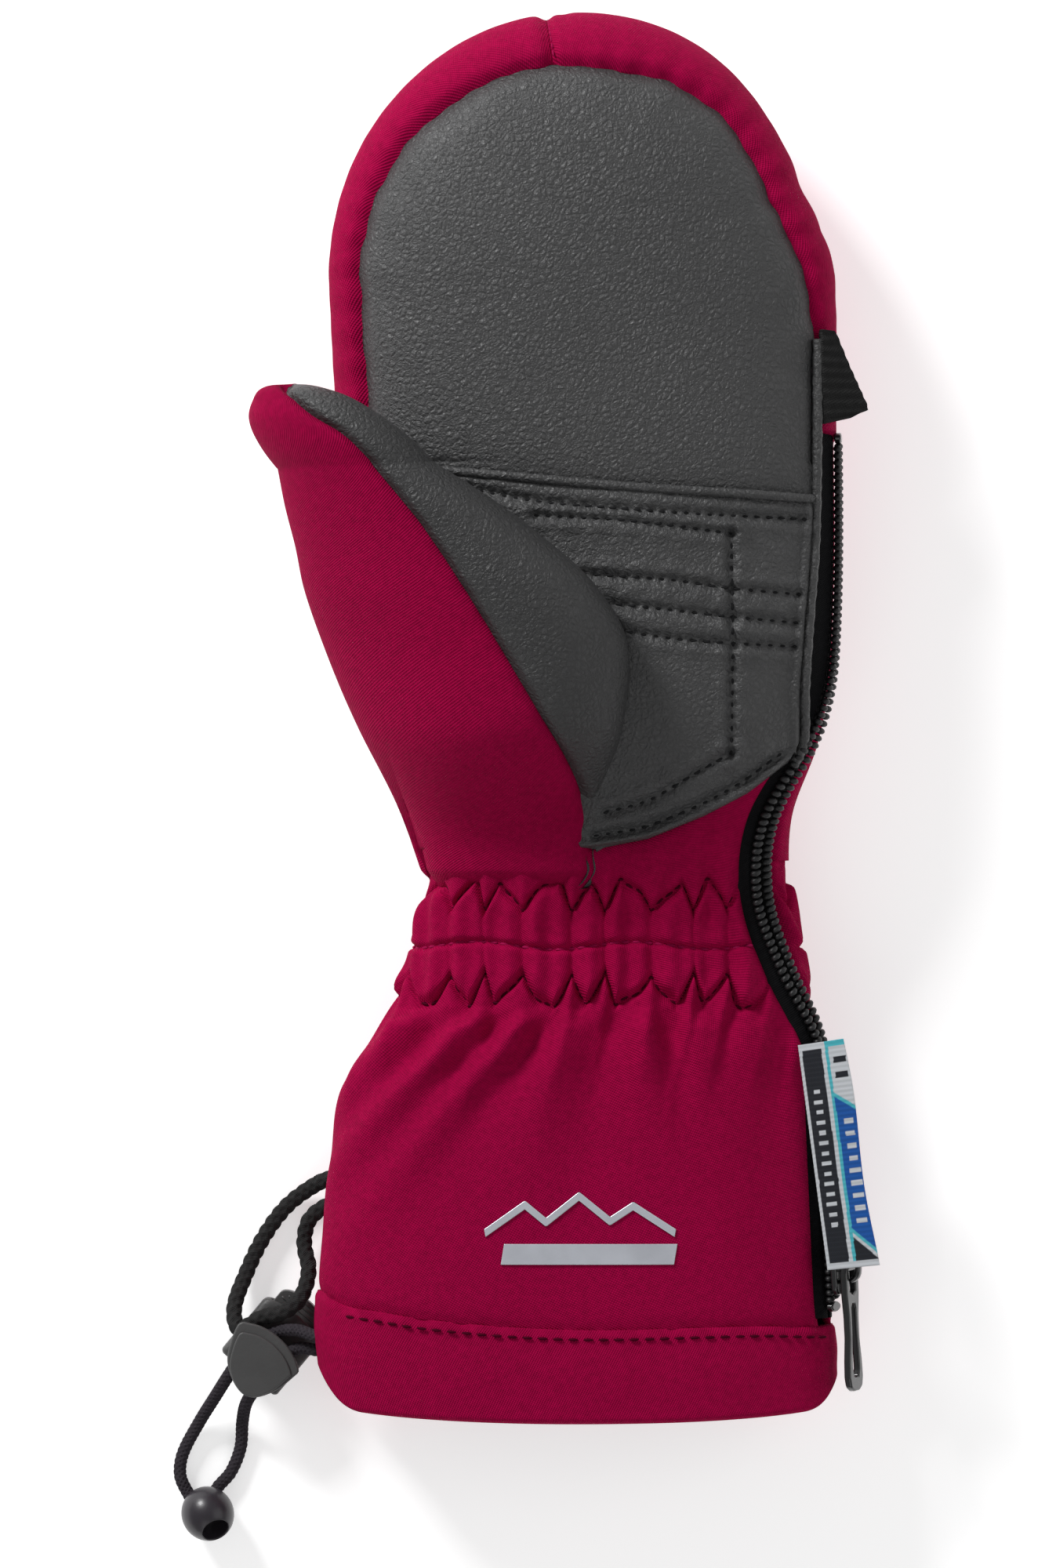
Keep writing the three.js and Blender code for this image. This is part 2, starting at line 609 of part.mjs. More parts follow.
function addCuff() {
  const cuff = shell(0, PANEL, HEM_Y + GAP, CUFF_TOP_Y).subtract(zipSlot());
  add('cuff_front', largest(cuff.intersect(box(-90, 90, -140, 0, SIDE_SEAM_Z, 60))), FABRIC);
  add('cuff_back', largest(cuff.intersect(box(-90, 90, -140, 0, -5, SIDE_SEAM_Z - GAP))), FABRIC);
  add('cuff_hem', cuffHem(), FABRIC);
  add('hem_elastic', hemCord(ELASTIC_RADIUS, 44).intersect(body(GAP)), WEBBING);
  const film = shell(-0.6, -0.3, -108, -80);
  const bar = [[-13.6, -96.4], [17.8, -96.4], [18.4, -100.2], [-13, -100.2]];
  const peaks = [
    [-16.5, -87.4], [-14.6, -87.4], [-9.5, -92], [-4.5, -87.4], [1, -92], [6.5, -87.4],
    [12, -92], [16, -87.4], [18, -87.4], [12, -94.6], [6.5, -90.2], [1, -94.6], [-4.5, -90.2],
    [-9.5, -94.6],
  ];
  add('transfer_bar', film.intersect(prism(bar, 20, 60)), SILVER);
  add('transfer_peaks', film.intersect(prism(peaks, 20, 60)), SILVER);
}

function addLayers() {
  const layer = ([outer, inner], from) => {
    const full = body(outer, false).add(thumb(outer, 10));
    const hollow = body(inner, false).add(thumb(inner, 10));
    const trim = box(-90, 90, -200, from, -50, 90);
    return largest(full.subtract(hollow).subtract(trim));
  };
  add('wadding', layer(WADDING_DEPTH, WRIST_TOP_Y + 1), PADDING);
  add('membrane', layer(MEMBRANE_DEPTH, CUFF_TOP_Y), FILM);
  add('fleece_lining', layer(LINING_DEPTH, HEM_Y + 1), FLEECE);
}

function addFastener() {
  add('zip_tape_front', zipTape(-1), WEBBING);
  add('zip_tape_back', zipTape(1), WEBBING);
  add('zip_coil_front', zipCoil(-1), WEBBING);
  add('zip_coil_back', zipCoil(1), WEBBING);
  add('zip_top_stop', zipStop(ZIP_TOP_Y + GAP, 1.6), METAL);
  add('zip_end_stop', zipStop(ZIP_END_Y - GAP - 1.6, 1.6), METAL);
  const [near, deep] = GUSSET_DEPTH;
  const flat = [[-4.4, -near], [4.4, -near], [4.4, -deep], [-4.4, -deep]];
  add('zip_gusset', zipStrip(HEM_Y + 2, -32, flat, 14), FABRIC);
  add('zip_slider', sliderBody(), METAL);
  add('zip_puller', sliderPuller(), METAL);
}

function addTrims() {
  const side = [[PALM_RIGHT_X + 0.8, 68], [44.9, 54], [44.3, 41], [42.7, 18], [40.6, -3.6]];
  add('side_piping', piping(side, 1.1, 1.95, 18), LEATHER);
  const across = [[-16, 44.4], [8, 43], [30, 41.5], [42.6, 40.6]];
  add('patch_piping', piping(across, 1.1, 1.5, 14), LEATHER);
  add('flag_label', flagLabel(), LABEL);
  add('ribbon_tab', ribbonTab(), WEBBING);
}

function addCords() {
  const hemSide = body(-SINK - GAP);
  const keepOff = hemSide.add(solidOf(new THREE.SphereGeometry(5.5, 16, 10), beadMatrix()));
  const free = (points, radius, steps) => {
    return largest(solidOf(cord(points, radius, steps)).subtract(keepOff));
  };
  add('drawcord_outer', free(ELASTIC_OUTER, ELASTIC_RADIUS, 26), WEBBING);
  add('drawcord_inner', free(ELASTIC_INNER, ELASTIC_RADIUS, 24), WEBBING);
  add('tether_cord', free(TETHER, TETHER_RADIUS, 36), WEBBING);
  add('bead', bead(), PLASTIC);
  add('lock_body', lockBody(), PLASTIC);
  add('lock_button', lockButton(), PLASTIC);
  add('lock_spring', lockSpring(), STEEL);
}

addHand();
addThumb();
addWrist();
addCuff();
addLayers();
addFastener();
addTrims();
addCords();

export default group;
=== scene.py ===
"""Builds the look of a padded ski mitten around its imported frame."""

import json
import math

import bmesh
import bpy
import numpy as np
from mathutils import Vector
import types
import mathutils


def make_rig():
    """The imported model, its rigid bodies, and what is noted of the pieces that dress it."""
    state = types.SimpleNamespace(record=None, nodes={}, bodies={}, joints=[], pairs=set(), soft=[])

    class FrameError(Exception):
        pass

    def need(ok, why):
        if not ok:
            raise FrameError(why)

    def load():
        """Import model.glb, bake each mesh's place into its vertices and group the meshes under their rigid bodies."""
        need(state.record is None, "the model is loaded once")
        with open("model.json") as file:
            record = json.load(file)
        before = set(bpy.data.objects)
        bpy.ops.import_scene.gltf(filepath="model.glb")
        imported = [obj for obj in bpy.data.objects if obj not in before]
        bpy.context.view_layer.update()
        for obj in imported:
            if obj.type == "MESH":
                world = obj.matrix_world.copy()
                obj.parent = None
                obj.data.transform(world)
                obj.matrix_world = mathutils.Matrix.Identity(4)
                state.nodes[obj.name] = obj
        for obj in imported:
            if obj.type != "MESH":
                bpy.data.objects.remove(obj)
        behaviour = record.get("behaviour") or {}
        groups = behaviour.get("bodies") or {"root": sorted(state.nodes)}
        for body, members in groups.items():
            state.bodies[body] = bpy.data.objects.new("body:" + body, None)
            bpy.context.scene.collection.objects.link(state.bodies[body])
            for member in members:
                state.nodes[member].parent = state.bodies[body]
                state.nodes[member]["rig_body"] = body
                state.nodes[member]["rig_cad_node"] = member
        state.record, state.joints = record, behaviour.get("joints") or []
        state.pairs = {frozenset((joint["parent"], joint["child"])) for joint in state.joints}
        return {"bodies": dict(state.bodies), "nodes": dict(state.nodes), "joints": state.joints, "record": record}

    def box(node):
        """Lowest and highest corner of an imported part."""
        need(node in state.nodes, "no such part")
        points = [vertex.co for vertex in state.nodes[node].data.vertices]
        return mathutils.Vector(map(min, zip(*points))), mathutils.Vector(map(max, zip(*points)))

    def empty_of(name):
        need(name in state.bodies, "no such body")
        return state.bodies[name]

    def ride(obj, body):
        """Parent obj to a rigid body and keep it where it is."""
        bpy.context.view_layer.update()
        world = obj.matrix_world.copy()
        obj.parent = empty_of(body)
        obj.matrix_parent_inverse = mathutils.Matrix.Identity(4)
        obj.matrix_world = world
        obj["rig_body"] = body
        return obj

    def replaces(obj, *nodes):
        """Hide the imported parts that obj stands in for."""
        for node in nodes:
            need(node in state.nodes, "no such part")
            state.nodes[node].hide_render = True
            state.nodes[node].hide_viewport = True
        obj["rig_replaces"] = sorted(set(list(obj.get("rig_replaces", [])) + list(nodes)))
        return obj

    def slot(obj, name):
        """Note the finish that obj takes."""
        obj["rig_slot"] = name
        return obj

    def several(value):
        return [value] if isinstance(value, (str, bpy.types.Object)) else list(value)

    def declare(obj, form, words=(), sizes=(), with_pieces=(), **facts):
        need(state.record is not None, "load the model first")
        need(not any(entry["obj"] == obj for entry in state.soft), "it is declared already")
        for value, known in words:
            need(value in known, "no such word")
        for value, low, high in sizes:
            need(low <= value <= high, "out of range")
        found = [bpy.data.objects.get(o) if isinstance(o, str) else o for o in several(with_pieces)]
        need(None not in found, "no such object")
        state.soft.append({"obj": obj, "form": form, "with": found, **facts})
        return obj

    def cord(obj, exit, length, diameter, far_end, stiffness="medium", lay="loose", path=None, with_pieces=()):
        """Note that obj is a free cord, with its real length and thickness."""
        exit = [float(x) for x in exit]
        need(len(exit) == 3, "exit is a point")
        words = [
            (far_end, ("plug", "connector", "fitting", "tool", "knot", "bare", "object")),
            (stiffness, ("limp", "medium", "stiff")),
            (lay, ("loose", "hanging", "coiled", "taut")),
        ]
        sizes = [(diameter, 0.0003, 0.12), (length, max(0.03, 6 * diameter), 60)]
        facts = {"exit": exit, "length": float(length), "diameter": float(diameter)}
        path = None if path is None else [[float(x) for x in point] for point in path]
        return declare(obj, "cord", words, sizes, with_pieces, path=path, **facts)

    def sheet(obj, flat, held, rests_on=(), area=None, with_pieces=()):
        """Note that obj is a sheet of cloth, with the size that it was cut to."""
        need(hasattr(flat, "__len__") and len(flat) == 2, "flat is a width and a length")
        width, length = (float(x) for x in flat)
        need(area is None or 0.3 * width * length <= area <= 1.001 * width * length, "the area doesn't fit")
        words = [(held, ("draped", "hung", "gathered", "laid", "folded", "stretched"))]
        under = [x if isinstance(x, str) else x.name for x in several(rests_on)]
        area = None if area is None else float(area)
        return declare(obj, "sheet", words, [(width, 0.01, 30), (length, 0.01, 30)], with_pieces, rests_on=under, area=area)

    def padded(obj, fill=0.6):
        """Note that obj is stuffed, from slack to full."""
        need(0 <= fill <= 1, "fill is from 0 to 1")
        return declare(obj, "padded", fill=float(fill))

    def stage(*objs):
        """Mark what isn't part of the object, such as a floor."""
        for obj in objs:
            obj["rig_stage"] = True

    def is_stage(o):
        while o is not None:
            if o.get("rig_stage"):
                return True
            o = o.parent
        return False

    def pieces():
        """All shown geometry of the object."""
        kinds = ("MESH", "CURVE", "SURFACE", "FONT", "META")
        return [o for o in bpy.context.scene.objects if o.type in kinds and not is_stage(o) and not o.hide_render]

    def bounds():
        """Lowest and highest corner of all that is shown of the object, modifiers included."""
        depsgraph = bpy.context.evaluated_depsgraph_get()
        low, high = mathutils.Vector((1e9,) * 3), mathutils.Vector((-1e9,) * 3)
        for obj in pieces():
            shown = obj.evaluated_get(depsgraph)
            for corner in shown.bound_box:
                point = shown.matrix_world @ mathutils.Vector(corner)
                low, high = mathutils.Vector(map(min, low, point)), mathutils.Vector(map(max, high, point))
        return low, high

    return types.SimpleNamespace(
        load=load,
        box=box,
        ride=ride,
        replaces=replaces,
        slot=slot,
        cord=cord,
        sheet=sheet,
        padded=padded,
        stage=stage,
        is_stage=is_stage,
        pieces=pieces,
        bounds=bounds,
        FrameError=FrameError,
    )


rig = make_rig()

bl_info = {
    "name": "Ski mitten",
    "version": (1, 0, 0),
    "blender": (4, 5, 0),
    "location": "View3D > Sidebar > Mitten",
    "description": "Fabric, leather, zip and cords of a padded ski mitten",
    "category": "Object",
}

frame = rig.load()
CAD_BOX = [list(corner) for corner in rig.bounds()]
MM = 0.001

# Sizes in mm: fingertips, start of the fingertip arc, top of the hem, split of the finger band,
# back seam, edges of the knuckle panel, thickness of a panel, one pleat of the wrist, gap beside the
# fastener, roundness of the hem's lip, length of the label and place of the slider. POWER is the
# exponent of the rounded section.
TIP_Y = 129.7
ARC_Y = 81.9
HEM_Y = -111.0
SPLIT_X = -5.5
BACK_Z = 8.0
KNUCKLE_X = 14
KNUCKLE_Y = (36, 112)
POWER = 2.4
WALL = 1.2
PLEAT = 7.6
EDGE_GAP = 3.1
LIP = 1.2
LABEL_LONG = 41.9
SLIDER_Y = -101.5

TWO_PI = 2 * math.pi


# ---------------------------------------------------------------- plain shape maths

def curve(stations):
    """Smooth curve through (t, value) points: cubic between points, with slopes of the neighbours."""
    t0, v = np.array(stations, float).T
    slope = np.empty(len(v))
    slope[1:-1] = (v[2:] - v[:-2]) / (t0[2:] - t0[:-2])
    slope[0] = (v[1] - v[0]) / (t0[1] - t0[0])
    slope[-1] = (v[-1] - v[-2]) / (t0[-1] - t0[-2])

    def at(t):
        """Value of the curve at t, held at its ends."""
        t = np.asarray(t, float)
        i = np.clip(np.searchsorted(t0, t, side="right") - 1, 0, len(v) - 2)
        h = t0[i + 1] - t0[i]
        s = np.clip((t - t0[i]) / h, 0, 1)
        rise = v[i] + (v[i + 1] - v[i]) * s * s * (3 - 2 * s)
        return rise + slope[i] * h * s * (1 - s) ** 2 + slope[i + 1] * h * s * s * (s - 1)
    return at


LEFT = curve([
    (-129.7, -46.4), (-112, -47.7), (-88, -46), (-70, -42.4), (-60, -37.3), (-48, -30.4),
    (-38, -28.4), (-28, -26.6), (-8, -33), (20, -40), (50, -42.3), (81.9, -44.4)])
RIGHT = curve([
    (-129.7, 48.7), (-66, 45.7), (-60, 45.4), (-47, 42.2), (-31, 39.3), (-18, 39.7),
    (-4, 44.6), (12, 47.3), (50, 47.8), (81.9, 46.6)])
THICK = curve([
    (-129.7, 14.4), (-66, 14.4), (-60, 14.4), (-38, 13), (-26, 14.5), (0, 18), (30, 19), (81.9, 19)])
ZIP_ANGLE = curve([
    (-129.7, 79.3), (-66, 79.3), (-60, 79), (-46, 62), (-30, 54), (-12, 62), (4, 80), (20, 84), (54, 86)])


def level(y):
    """Height of the middle plane of the body."""
    return THICK(np.minimum(y, ARC_Y)) - 0.6


def middle(y):
    """Middle line in plan: halfway between the two sides, held still past the fingertip arc."""
    base = np.minimum(y, ARC_Y)
    return (LEFT(base) + RIGHT(base)) / 2


def gauge(x, y):
    """How far out a plan point lies: 0 on the middle line, 1 on the edge."""
    base = np.minimum(y, ARC_Y)
    half = (RIGHT(base) - LEFT(base)) / 2
    cap = np.maximum(y - ARC_Y, 0) / (TIP_Y - ARC_Y)
    return np.sqrt(((x - middle(y)) / half) ** 2 + cap ** 2)


def dome(rho, y, side=1):
    """Height at a share rho of the way out: the thickness times (1 - rho^power)^(1/power)."""
    rho = np.clip(rho, 0, 1)
    return level(y) + side * THICK(np.minimum(y, ARC_Y)) * (1 - rho ** POWER) ** (1 / POWER)


def crown(x, y, side=1):
    """Height of the body's surface over a plan point: palm for side 1, back for side -1."""
    return np.maximum(dome(gauge(x, y), y, side), 0)


def signed_power(value, power):
    """Power of the size of a value, with the value's own sign."""
    return np.sign(value) * np.abs(value) ** power


def body_point(y, angle, depth=0.0):
    """Surface point at a height and an angle round the section, 0 on top and 90 at the zip side."""
    y, angle = np.broadcast_arrays(np.asarray(y, float), np.asarray(angle, float))
    half = (RIGHT(y) - LEFT(y)) / 2 - depth
    thick = THICK(y) - depth
    x = middle(y) + half * signed_power(np.sin(np.radians(angle)), 2 / POWER)
    z = level(y) + thick * signed_power(np.cos(np.radians(angle)), 2 / POWER)
    return np.stack([x, y, np.maximum(z, np.maximum(depth, 0))], -1)


def unit(v):
    """Vectors divided by their lengths."""
    return v / np.maximum(np.linalg.norm(v, axis=-1, keepdims=True), 1e-9)


def normals(grid, outward):
    """Unit normals of a grid surface, turned to agree with a rough outward direction."""
    n = unit(np.cross(np.gradient(grid, axis=0), np.gradient(grid, axis=1)))
    if float((n * outward).sum()) < 0:
        n = -n
    return n


def running(points):
    """Length reached at each point of a polyline, from 0 at the first."""
    return np.concatenate([[0], np.cumsum(np.linalg.norm(np.diff(points, axis=0), axis=1))])


def whole_turn(count):
    """Even angles round a whole turn, the last one short of the first."""
    return np.linspace(0, TWO_PI, count, endpoint=False)


def resample(points, count, closed=False):
    """Even points along a polyline, by length."""
    p = np.asarray(points, float)
    if closed:
        p = np.vstack([p, p[:1]])
    run = running(p)
    s = np.linspace(0, run[-1], count, endpoint=not closed)
    return np.stack([np.interp(s, run, p[:, k]) for k in range(p.shape[1])], -1)


def spline(points, count):
    """Even points along a smooth line through given points."""
    p = np.asarray(points, float)
    run = running(p)
    s = np.linspace(0, run[-1], count * 4)
    dense = np.stack([curve(np.stack([run, p[:, k]], -1))(s) for k in range(p.shape[1])], -1)
    return resample(dense, count)


def line_distance(x, y, line):
    """Distance from plan points to a polyline, and how far along it the nearest point lies."""
    best = np.full(np.shape(x), 1e9)
    along = np.zeros(np.shape(x))
    run = 0.0
    for (ax, ay), (bx, by) in zip(line[:-1], line[1:]):
        dx, dy = bx - ax, by - ay
        length = math.hypot(dx, dy)
        t = np.clip(((x - ax) * dx + (y - ay) * dy) / length ** 2, 0, 1)
        d = np.hypot(x - ax - t * dx, y - ay - t * dy)
        closer = d < best
        along = np.where(closer, run + t * length, along)
        best = np.where(closer, d, best)
        run += length
    return best, along


def bell(d, width):
    """Bump of height 1 at d = 0: e to the power of minus (d/width) squared."""
    return np.exp(-(d / width) ** 2)


def ripple(a, b, seed):
    """Smooth irregular waves between about -1 and 1, from four sines of unlike lengths."""
    total = 0
    for k, (f, g) in enumerate([(1, 0.6), (0.63, -1.1), (1.71, 0.9), (0.37, 1.3)]):
        total = total + np.sin(f * a + g * b + seed * (1.7 + k)) / (1 + 0.5 * k)
    return total / 2.4


# ---------------------------------------------------------------- meshes

def put(name, corners, faces, material, uv=None, smooth=True, colours=None):
    """New mesh object from corners in mm and faces, facing outward, at the origin."""
    corners = np.asarray(corners, float)
    used, packed = np.unique(np.concatenate([f.ravel() for f in faces]), return_inverse=True)
    cuts = np.cumsum([f.size for f in faces])[:-1]
    faces = [part.reshape(-1, f.shape[1]) for part, f in zip(np.split(packed.ravel(), cuts), faces)]
    corners = corners[used]
    uv = None if uv is None else np.asarray(uv)[used]
    colours = None if colours is None else colours[used]
    volume = sum(
        float((corners[f[:, 0]] * np.cross(corners[f[:, i]], corners[f[:, i + 1]])).sum())
        for f in faces for i in range(1, f.shape[1] - 1))
    if volume < 0:
        faces = [f[:, ::-1] for f in faces]
    mesh = bpy.data.meshes.new(name)
    mesh.from_pydata((corners * MM).tolist(), [], [row for f in faces for row in f.tolist()])
    mesh.polygons.foreach_set("use_smooth", np.full(len(mesh.polygons), smooth))
    loops = np.empty(len(mesh.loops), np.int32)
    mesh.loops.foreach_get("vertex_index", loops)
    if uv is not None:
        layer = mesh.uv_layers.new(name="UVMap")
        layer.data.foreach_set("uv", (uv[loops] * MM).astype(np.float32).ravel())
    if colours is not None:
        layer = mesh.color_attributes.new("Weave", "FLOAT_COLOR", "POINT")
        rgba = np.concatenate([colours, np.ones((len(colours), 1))], 1)
        layer.data.foreach_set("color", rgba.astype(np.float32).ravel())
    obj = bpy.data.objects.new(name, mesh)
    bpy.context.scene.collection.objects.link(obj)
    mesh.materials.append(bpy.data.materials[material])
    return obj


def grid_faces(rows, columns, start=0, closed=False):
    """Quads of a grid numbered row by row from start; closed joins its last column to the first."""
    i, j = np.meshgrid(np.arange(rows - 1), np.arange(columns if closed else columns - 1),
                       indexing="ij")
    k = (j + 1) % columns
    quad = [i * columns + j, i * columns + k, (i + 1) * columns + k, (i + 1) * columns + j]
    return start + np.stack(quad, -1).reshape(-1, 4)


def lengths(grid):
    """UV of a grid in mm: running lengths along its middle row and middle column."""
    rows, columns = grid.shape[:2]
    u, v = running(grid[rows // 2]), running(grid[:, columns // 2])
    return np.stack(np.meshgrid(u, v), -1).reshape(-1, 2)


def slab(name, grid, outward, lift, material, wall=WALL, keep=None):
    """Panel: a grid lifted along its normals by a map, with a wall behind it and closed borders.
    keep says which cells of the grid belong to the panel."""
    rows, columns = grid.shape[:2]
    n = normals(grid, outward)
    top = grid + n * np.asarray(lift)[..., None]
    back = top - n * wall
    top[..., 2] = np.maximum(top[..., 2], 0.02)
    back[..., 2] = np.maximum(back[..., 2], 0.3)
    corners = np.concatenate([top.reshape(-1, 3), back.reshape(-1, 3)])
    face = grid_faces(rows, columns)
    if keep is not None:
        face = face[keep.ravel()]
    shift = rows * columns
    start = face.ravel()
    end = np.roll(face, -1, axis=1).ravel()
    open_edge = ~np.isin(start * shift + end, end * shift + start)
    start, end = start[open_edge], end[open_edge]
    rim = np.stack([end, start, start + shift, end + shift], -1)
    uv = np.tile(lengths(grid), (2, 1))
    return put(name, corners, [face, face[:, ::-1] + shift, rim], material, uv)


def loft(name, rings, ends, material, uv=None, smooth=True):
    """Closed form through rings of points, ending in a point or closed on itself when ends is None."""
    count, n = rings.shape[:2]
    corners = rings.reshape(-1, 3)
    faces = [grid_faces(count, n, closed=True)]
    j = np.arange(n)
    k = (j + 1) % n
    last = (count - 1) * n
    if ends is None:
        faces.append(np.stack([last + j, last + k, k, j], -1))
    else:
        corners = np.vstack([corners, ends[0], ends[1]])
        first = np.full(n, count * n)
        faces.append(np.stack([first, k, j], -1))
        faces.append(np.stack([first + 1, last + j, last + k], -1))
    if uv is None:
        grid_uv = lengths(np.concatenate([rings, rings[:, :1]], 1)).reshape(count, n + 1, 2)[:, :n]
        uv = grid_uv.reshape(-1, 2)
    if ends is not None:
        uv = np.vstack([uv, uv[:1], uv[-1:]])
    return put(name, corners, faces, material, uv, smooth)


def disc(name, outline, centre, height, material, rings=70, wall=WALL, power=1.0):
    """Panel inside a closed plan outline: rings shrink to the centre, with heights from a function
    of plan place and of distance in from the edge."""
    r = np.linspace(0.015, 1, rings) ** power
    c = np.asarray(centre, float)
    plan = c + r[:, None, None] * (outline - c)
    reach = np.linalg.norm(outline - c, axis=1)
    inset = (1 - r)[:, None] * reach
    z = height(plan[..., 0], plan[..., 1], inset)
    top = np.concatenate([plan, z[..., None]], -1)
    n = normals(top, np.array([0, 0, 1.0]))
    back = top - n * wall
    back[..., 2] = np.maximum(back[..., 2], 0.3)
    both = np.concatenate([top, back[::-1]])
    ends = [top[0].mean(0), back[0].mean(0)]
    uv = np.concatenate([plan, plan[::-1]]).reshape(-1, 2)
    return loft(name, both, ends, material, uv)


def frames(path):
    """Tangent, side and upward unit vectors along a path that never stands upright for long."""
    tangent = unit(np.gradient(path, axis=0))
    side = unit(np.cross(tangent, [0, 0, 1.0]))
    return tangent, side, np.cross(side, tangent)


def tube(name, path, radius, material, sides=16):
    """Round bar along a path; radius may be a map of (steps, sides)."""
    tangent, side, up = frames(path)
    a = whole_turn(sides)
    r = np.broadcast_to(np.asarray(radius, float), (len(path), sides))
    rings = path[:, None] + r[..., None] * (
        np.cos(a)[None, :, None] * side[:, None] + np.sin(a)[None, :, None] * up[:, None])
    return loft(name, rings, [path[0], path[-1]], material)


def beads_along(name, points, tangent, side, up, sizes, material, turn=0.0, rings=4, sides=6):
    """Many small rounded lozenges: one ball, stretched to its half sizes along, across and up at
    each point and turned in plane by an angle."""
    v = np.linspace(0, math.pi, rings + 2)[1:-1]
    u = whole_turn(sides)
    ball = [[-1, 0, 0]] + [
        [-math.cos(b), math.sin(b) * math.cos(a), math.sin(b) * math.sin(a)] for b in v for a in u]
    ball = np.array(ball + [[1, 0, 0]])
    turn = np.broadcast_to(turn, len(points))[:, None]
    fore = np.cos(turn) * tangent + np.sin(turn) * side
    across = np.cos(turn) * side - np.sin(turn) * tangent
    corners = points[:, None] + (
        ball[None, :, :1] * sizes[0] * fore[:, None] + ball[None, :, 1:2] * sizes[1] * across[:, None]
        + ball[None, :, 2:] * sizes[2] * up[:, None])
    j = np.arange(sides)
    k = (j + 1) % sides
    quads = grid_faces(rings, sides, 1, True)
    last = len(ball) - 1
    tris = np.concatenate([
        np.stack([np.zeros(sides, int), k + 1, j + 1], -1),
        np.stack([np.full(sides, last), last - sides + j, last - sides + k], -1)])
    shift = (np.arange(len(points)) * len(ball))[:, None, None]
    faces = [(quads[None] + shift).reshape(-1, 4), (tris[None] + shift).reshape(-1, 3)]
    return put(name, corners.reshape(-1, 3), faces, material)


def stitches(name, path, size, thread, slot_name="shell_fabric"):
    """Row of sewing: one small lozenge at each point of a path."""
    place(beads_along(name, path, *frames(path), size, thread), "mitten", slot_name)


def moved(points, pose):
    """Points turned by the first part of a pose and moved by the second."""
    return points @ pose[0].T + pose[1]


def span(loop, first, last):
    """Part of a closed loop from one place on to another, past its end if need be."""
    return [loop[k % len(loop)] for k in range(first, last + 1 + (len(loop) if last < first else 0))]


def plate(name, outline, z0, z1, material, bevel, segments, pose, hole=(), cuts=()):
    """Flat moulded piece: an outline between two heights, with rounded edges, turned and moved by
    its pose. A hole leaves two faces side by side, which meet where each loop crosses x = 0 nearest
    to the heights in cuts: outline and hole at the head, then outline and hole at the foot."""
    bm = bmesh.new()
    outer, inner = [[bm.verts.new((x, y, z0)) for x, y in loop] for loop in (outline, hole)]
    if cuts:
        a, b, c, d = [int(np.argmin(np.hypot(loop[:, 0], loop[:, 1] - y)))
                      for loop, y in zip((outline, hole, outline, hole), cuts)]
        bm.faces.new(span(outer, a, c) + span(inner, d, b))
        bm.faces.new(span(outer, c, a) + span(inner, b, d))
    else:
        bm.faces.new(outer)
    made = bmesh.ops.extrude_face_region(bm, geom=list(bm.faces))
    bmesh.ops.translate(bm, vec=(0, 0, z1 - z0), verts=[
        g for g in made["geom"] if isinstance(g, bmesh.types.BMVert)])
    bmesh.ops.recalc_face_normals(bm, faces=list(bm.faces))
    mesh = bpy.data.meshes.new(name)
    bm.to_mesh(mesh)
    bm.free()
    co = np.empty(len(mesh.vertices) * 3)
    mesh.vertices.foreach_get("co", co)
    co = moved(co.reshape(-1, 3), pose)
    mesh.vertices.foreach_set("co", (co * MM).ravel())
    mesh.update()
    obj = bpy.data.objects.new(name, mesh)
    bpy.context.scene.collection.objects.link(obj)
    mesh.materials.append(bpy.data.materials[material])
    mesh.polygons.foreach_set("use_smooth", np.full(len(mesh.polygons), True))
    cut = obj.modifiers.new("Rounded edges", "BEVEL")
    cut.width = bevel * MM
    cut.segments = segments
    cut.limit_method = "ANGLE"
    cut.angle_limit = math.radians(40)
    cut.harden_normals = True
    return obj


def arc(cx, cy, rx, ry, start, end, steps):
    """Points of an ellipse from one angle to another, in degrees."""
    a = np.radians(np.linspace(start, end, steps + 1))
    return np.stack([cx + rx * np.cos(a), cy + ry * np.sin(a)], -1)


def place(obj, body, slot_name, *nodes):
    """Ties a finished piece to its body, its finish and the plain solids it stands for."""
    obj.name = obj.name.lower().replace(",", "").replace(" ", "_")
    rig.ride(obj, body)
    if nodes:
        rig.replaces(obj, *nodes)
    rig.slot(obj, slot_name)
    return obj


def soft(obj, slot_name, fill, *nodes):
    """Ties a padded panel of the mitten to its finish and solids, and says how full it is."""
    place(obj, "mitten", slot_name, *nodes)
    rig.padded(obj, fill)


# ---------------------------------------------------------------- arc lengths round the body

STEP_Y = STEP_ANGLE = 0.5
STEP_RUN = 0.25
TABLE_Y = np.arange(-131, 83, STEP_Y)
TABLE_ANGLE = np.arange(-345, 135.5, STEP_ANGLE)
TABLE_RUN = np.arange(-195, 75, STEP_RUN)


def angle_table():
    """For each height, the angle reached after each running length from the top of the palm, and
    the running length at each angle."""
    grid = body_point(TABLE_Y[:, None], TABLE_ANGLE[None])
    step = np.linalg.norm(np.diff(grid, axis=1), axis=2)
    run = np.concatenate([np.zeros((len(grid), 1)), np.cumsum(step, 1)], 1)
    run -= run[:, [int(np.argmin(np.abs(TABLE_ANGLE)))]]
    return np.array([np.interp(TABLE_RUN, r, TABLE_ANGLE) for r in run]), run


ANGLES, RUNS = angle_table()


def blend_rows(table, y, columns):
    """Values of a table at heights between its rows, each row read by its own column places."""
    f = np.clip((y - TABLE_Y[0]) / STEP_Y, 0, len(TABLE_Y) - 1.001)
    i = f.astype(int)
    w = f - i
    g = np.clip(columns, 0, table.shape[1] - 1.001)
    j = g.astype(int)
    u = g - j
    low = table[i, j] * (1 - u) + table[i, j + 1] * u
    high = table[i + 1, j] * (1 - u) + table[i + 1, j + 1] * u
    return low * (1 - w) + high * w


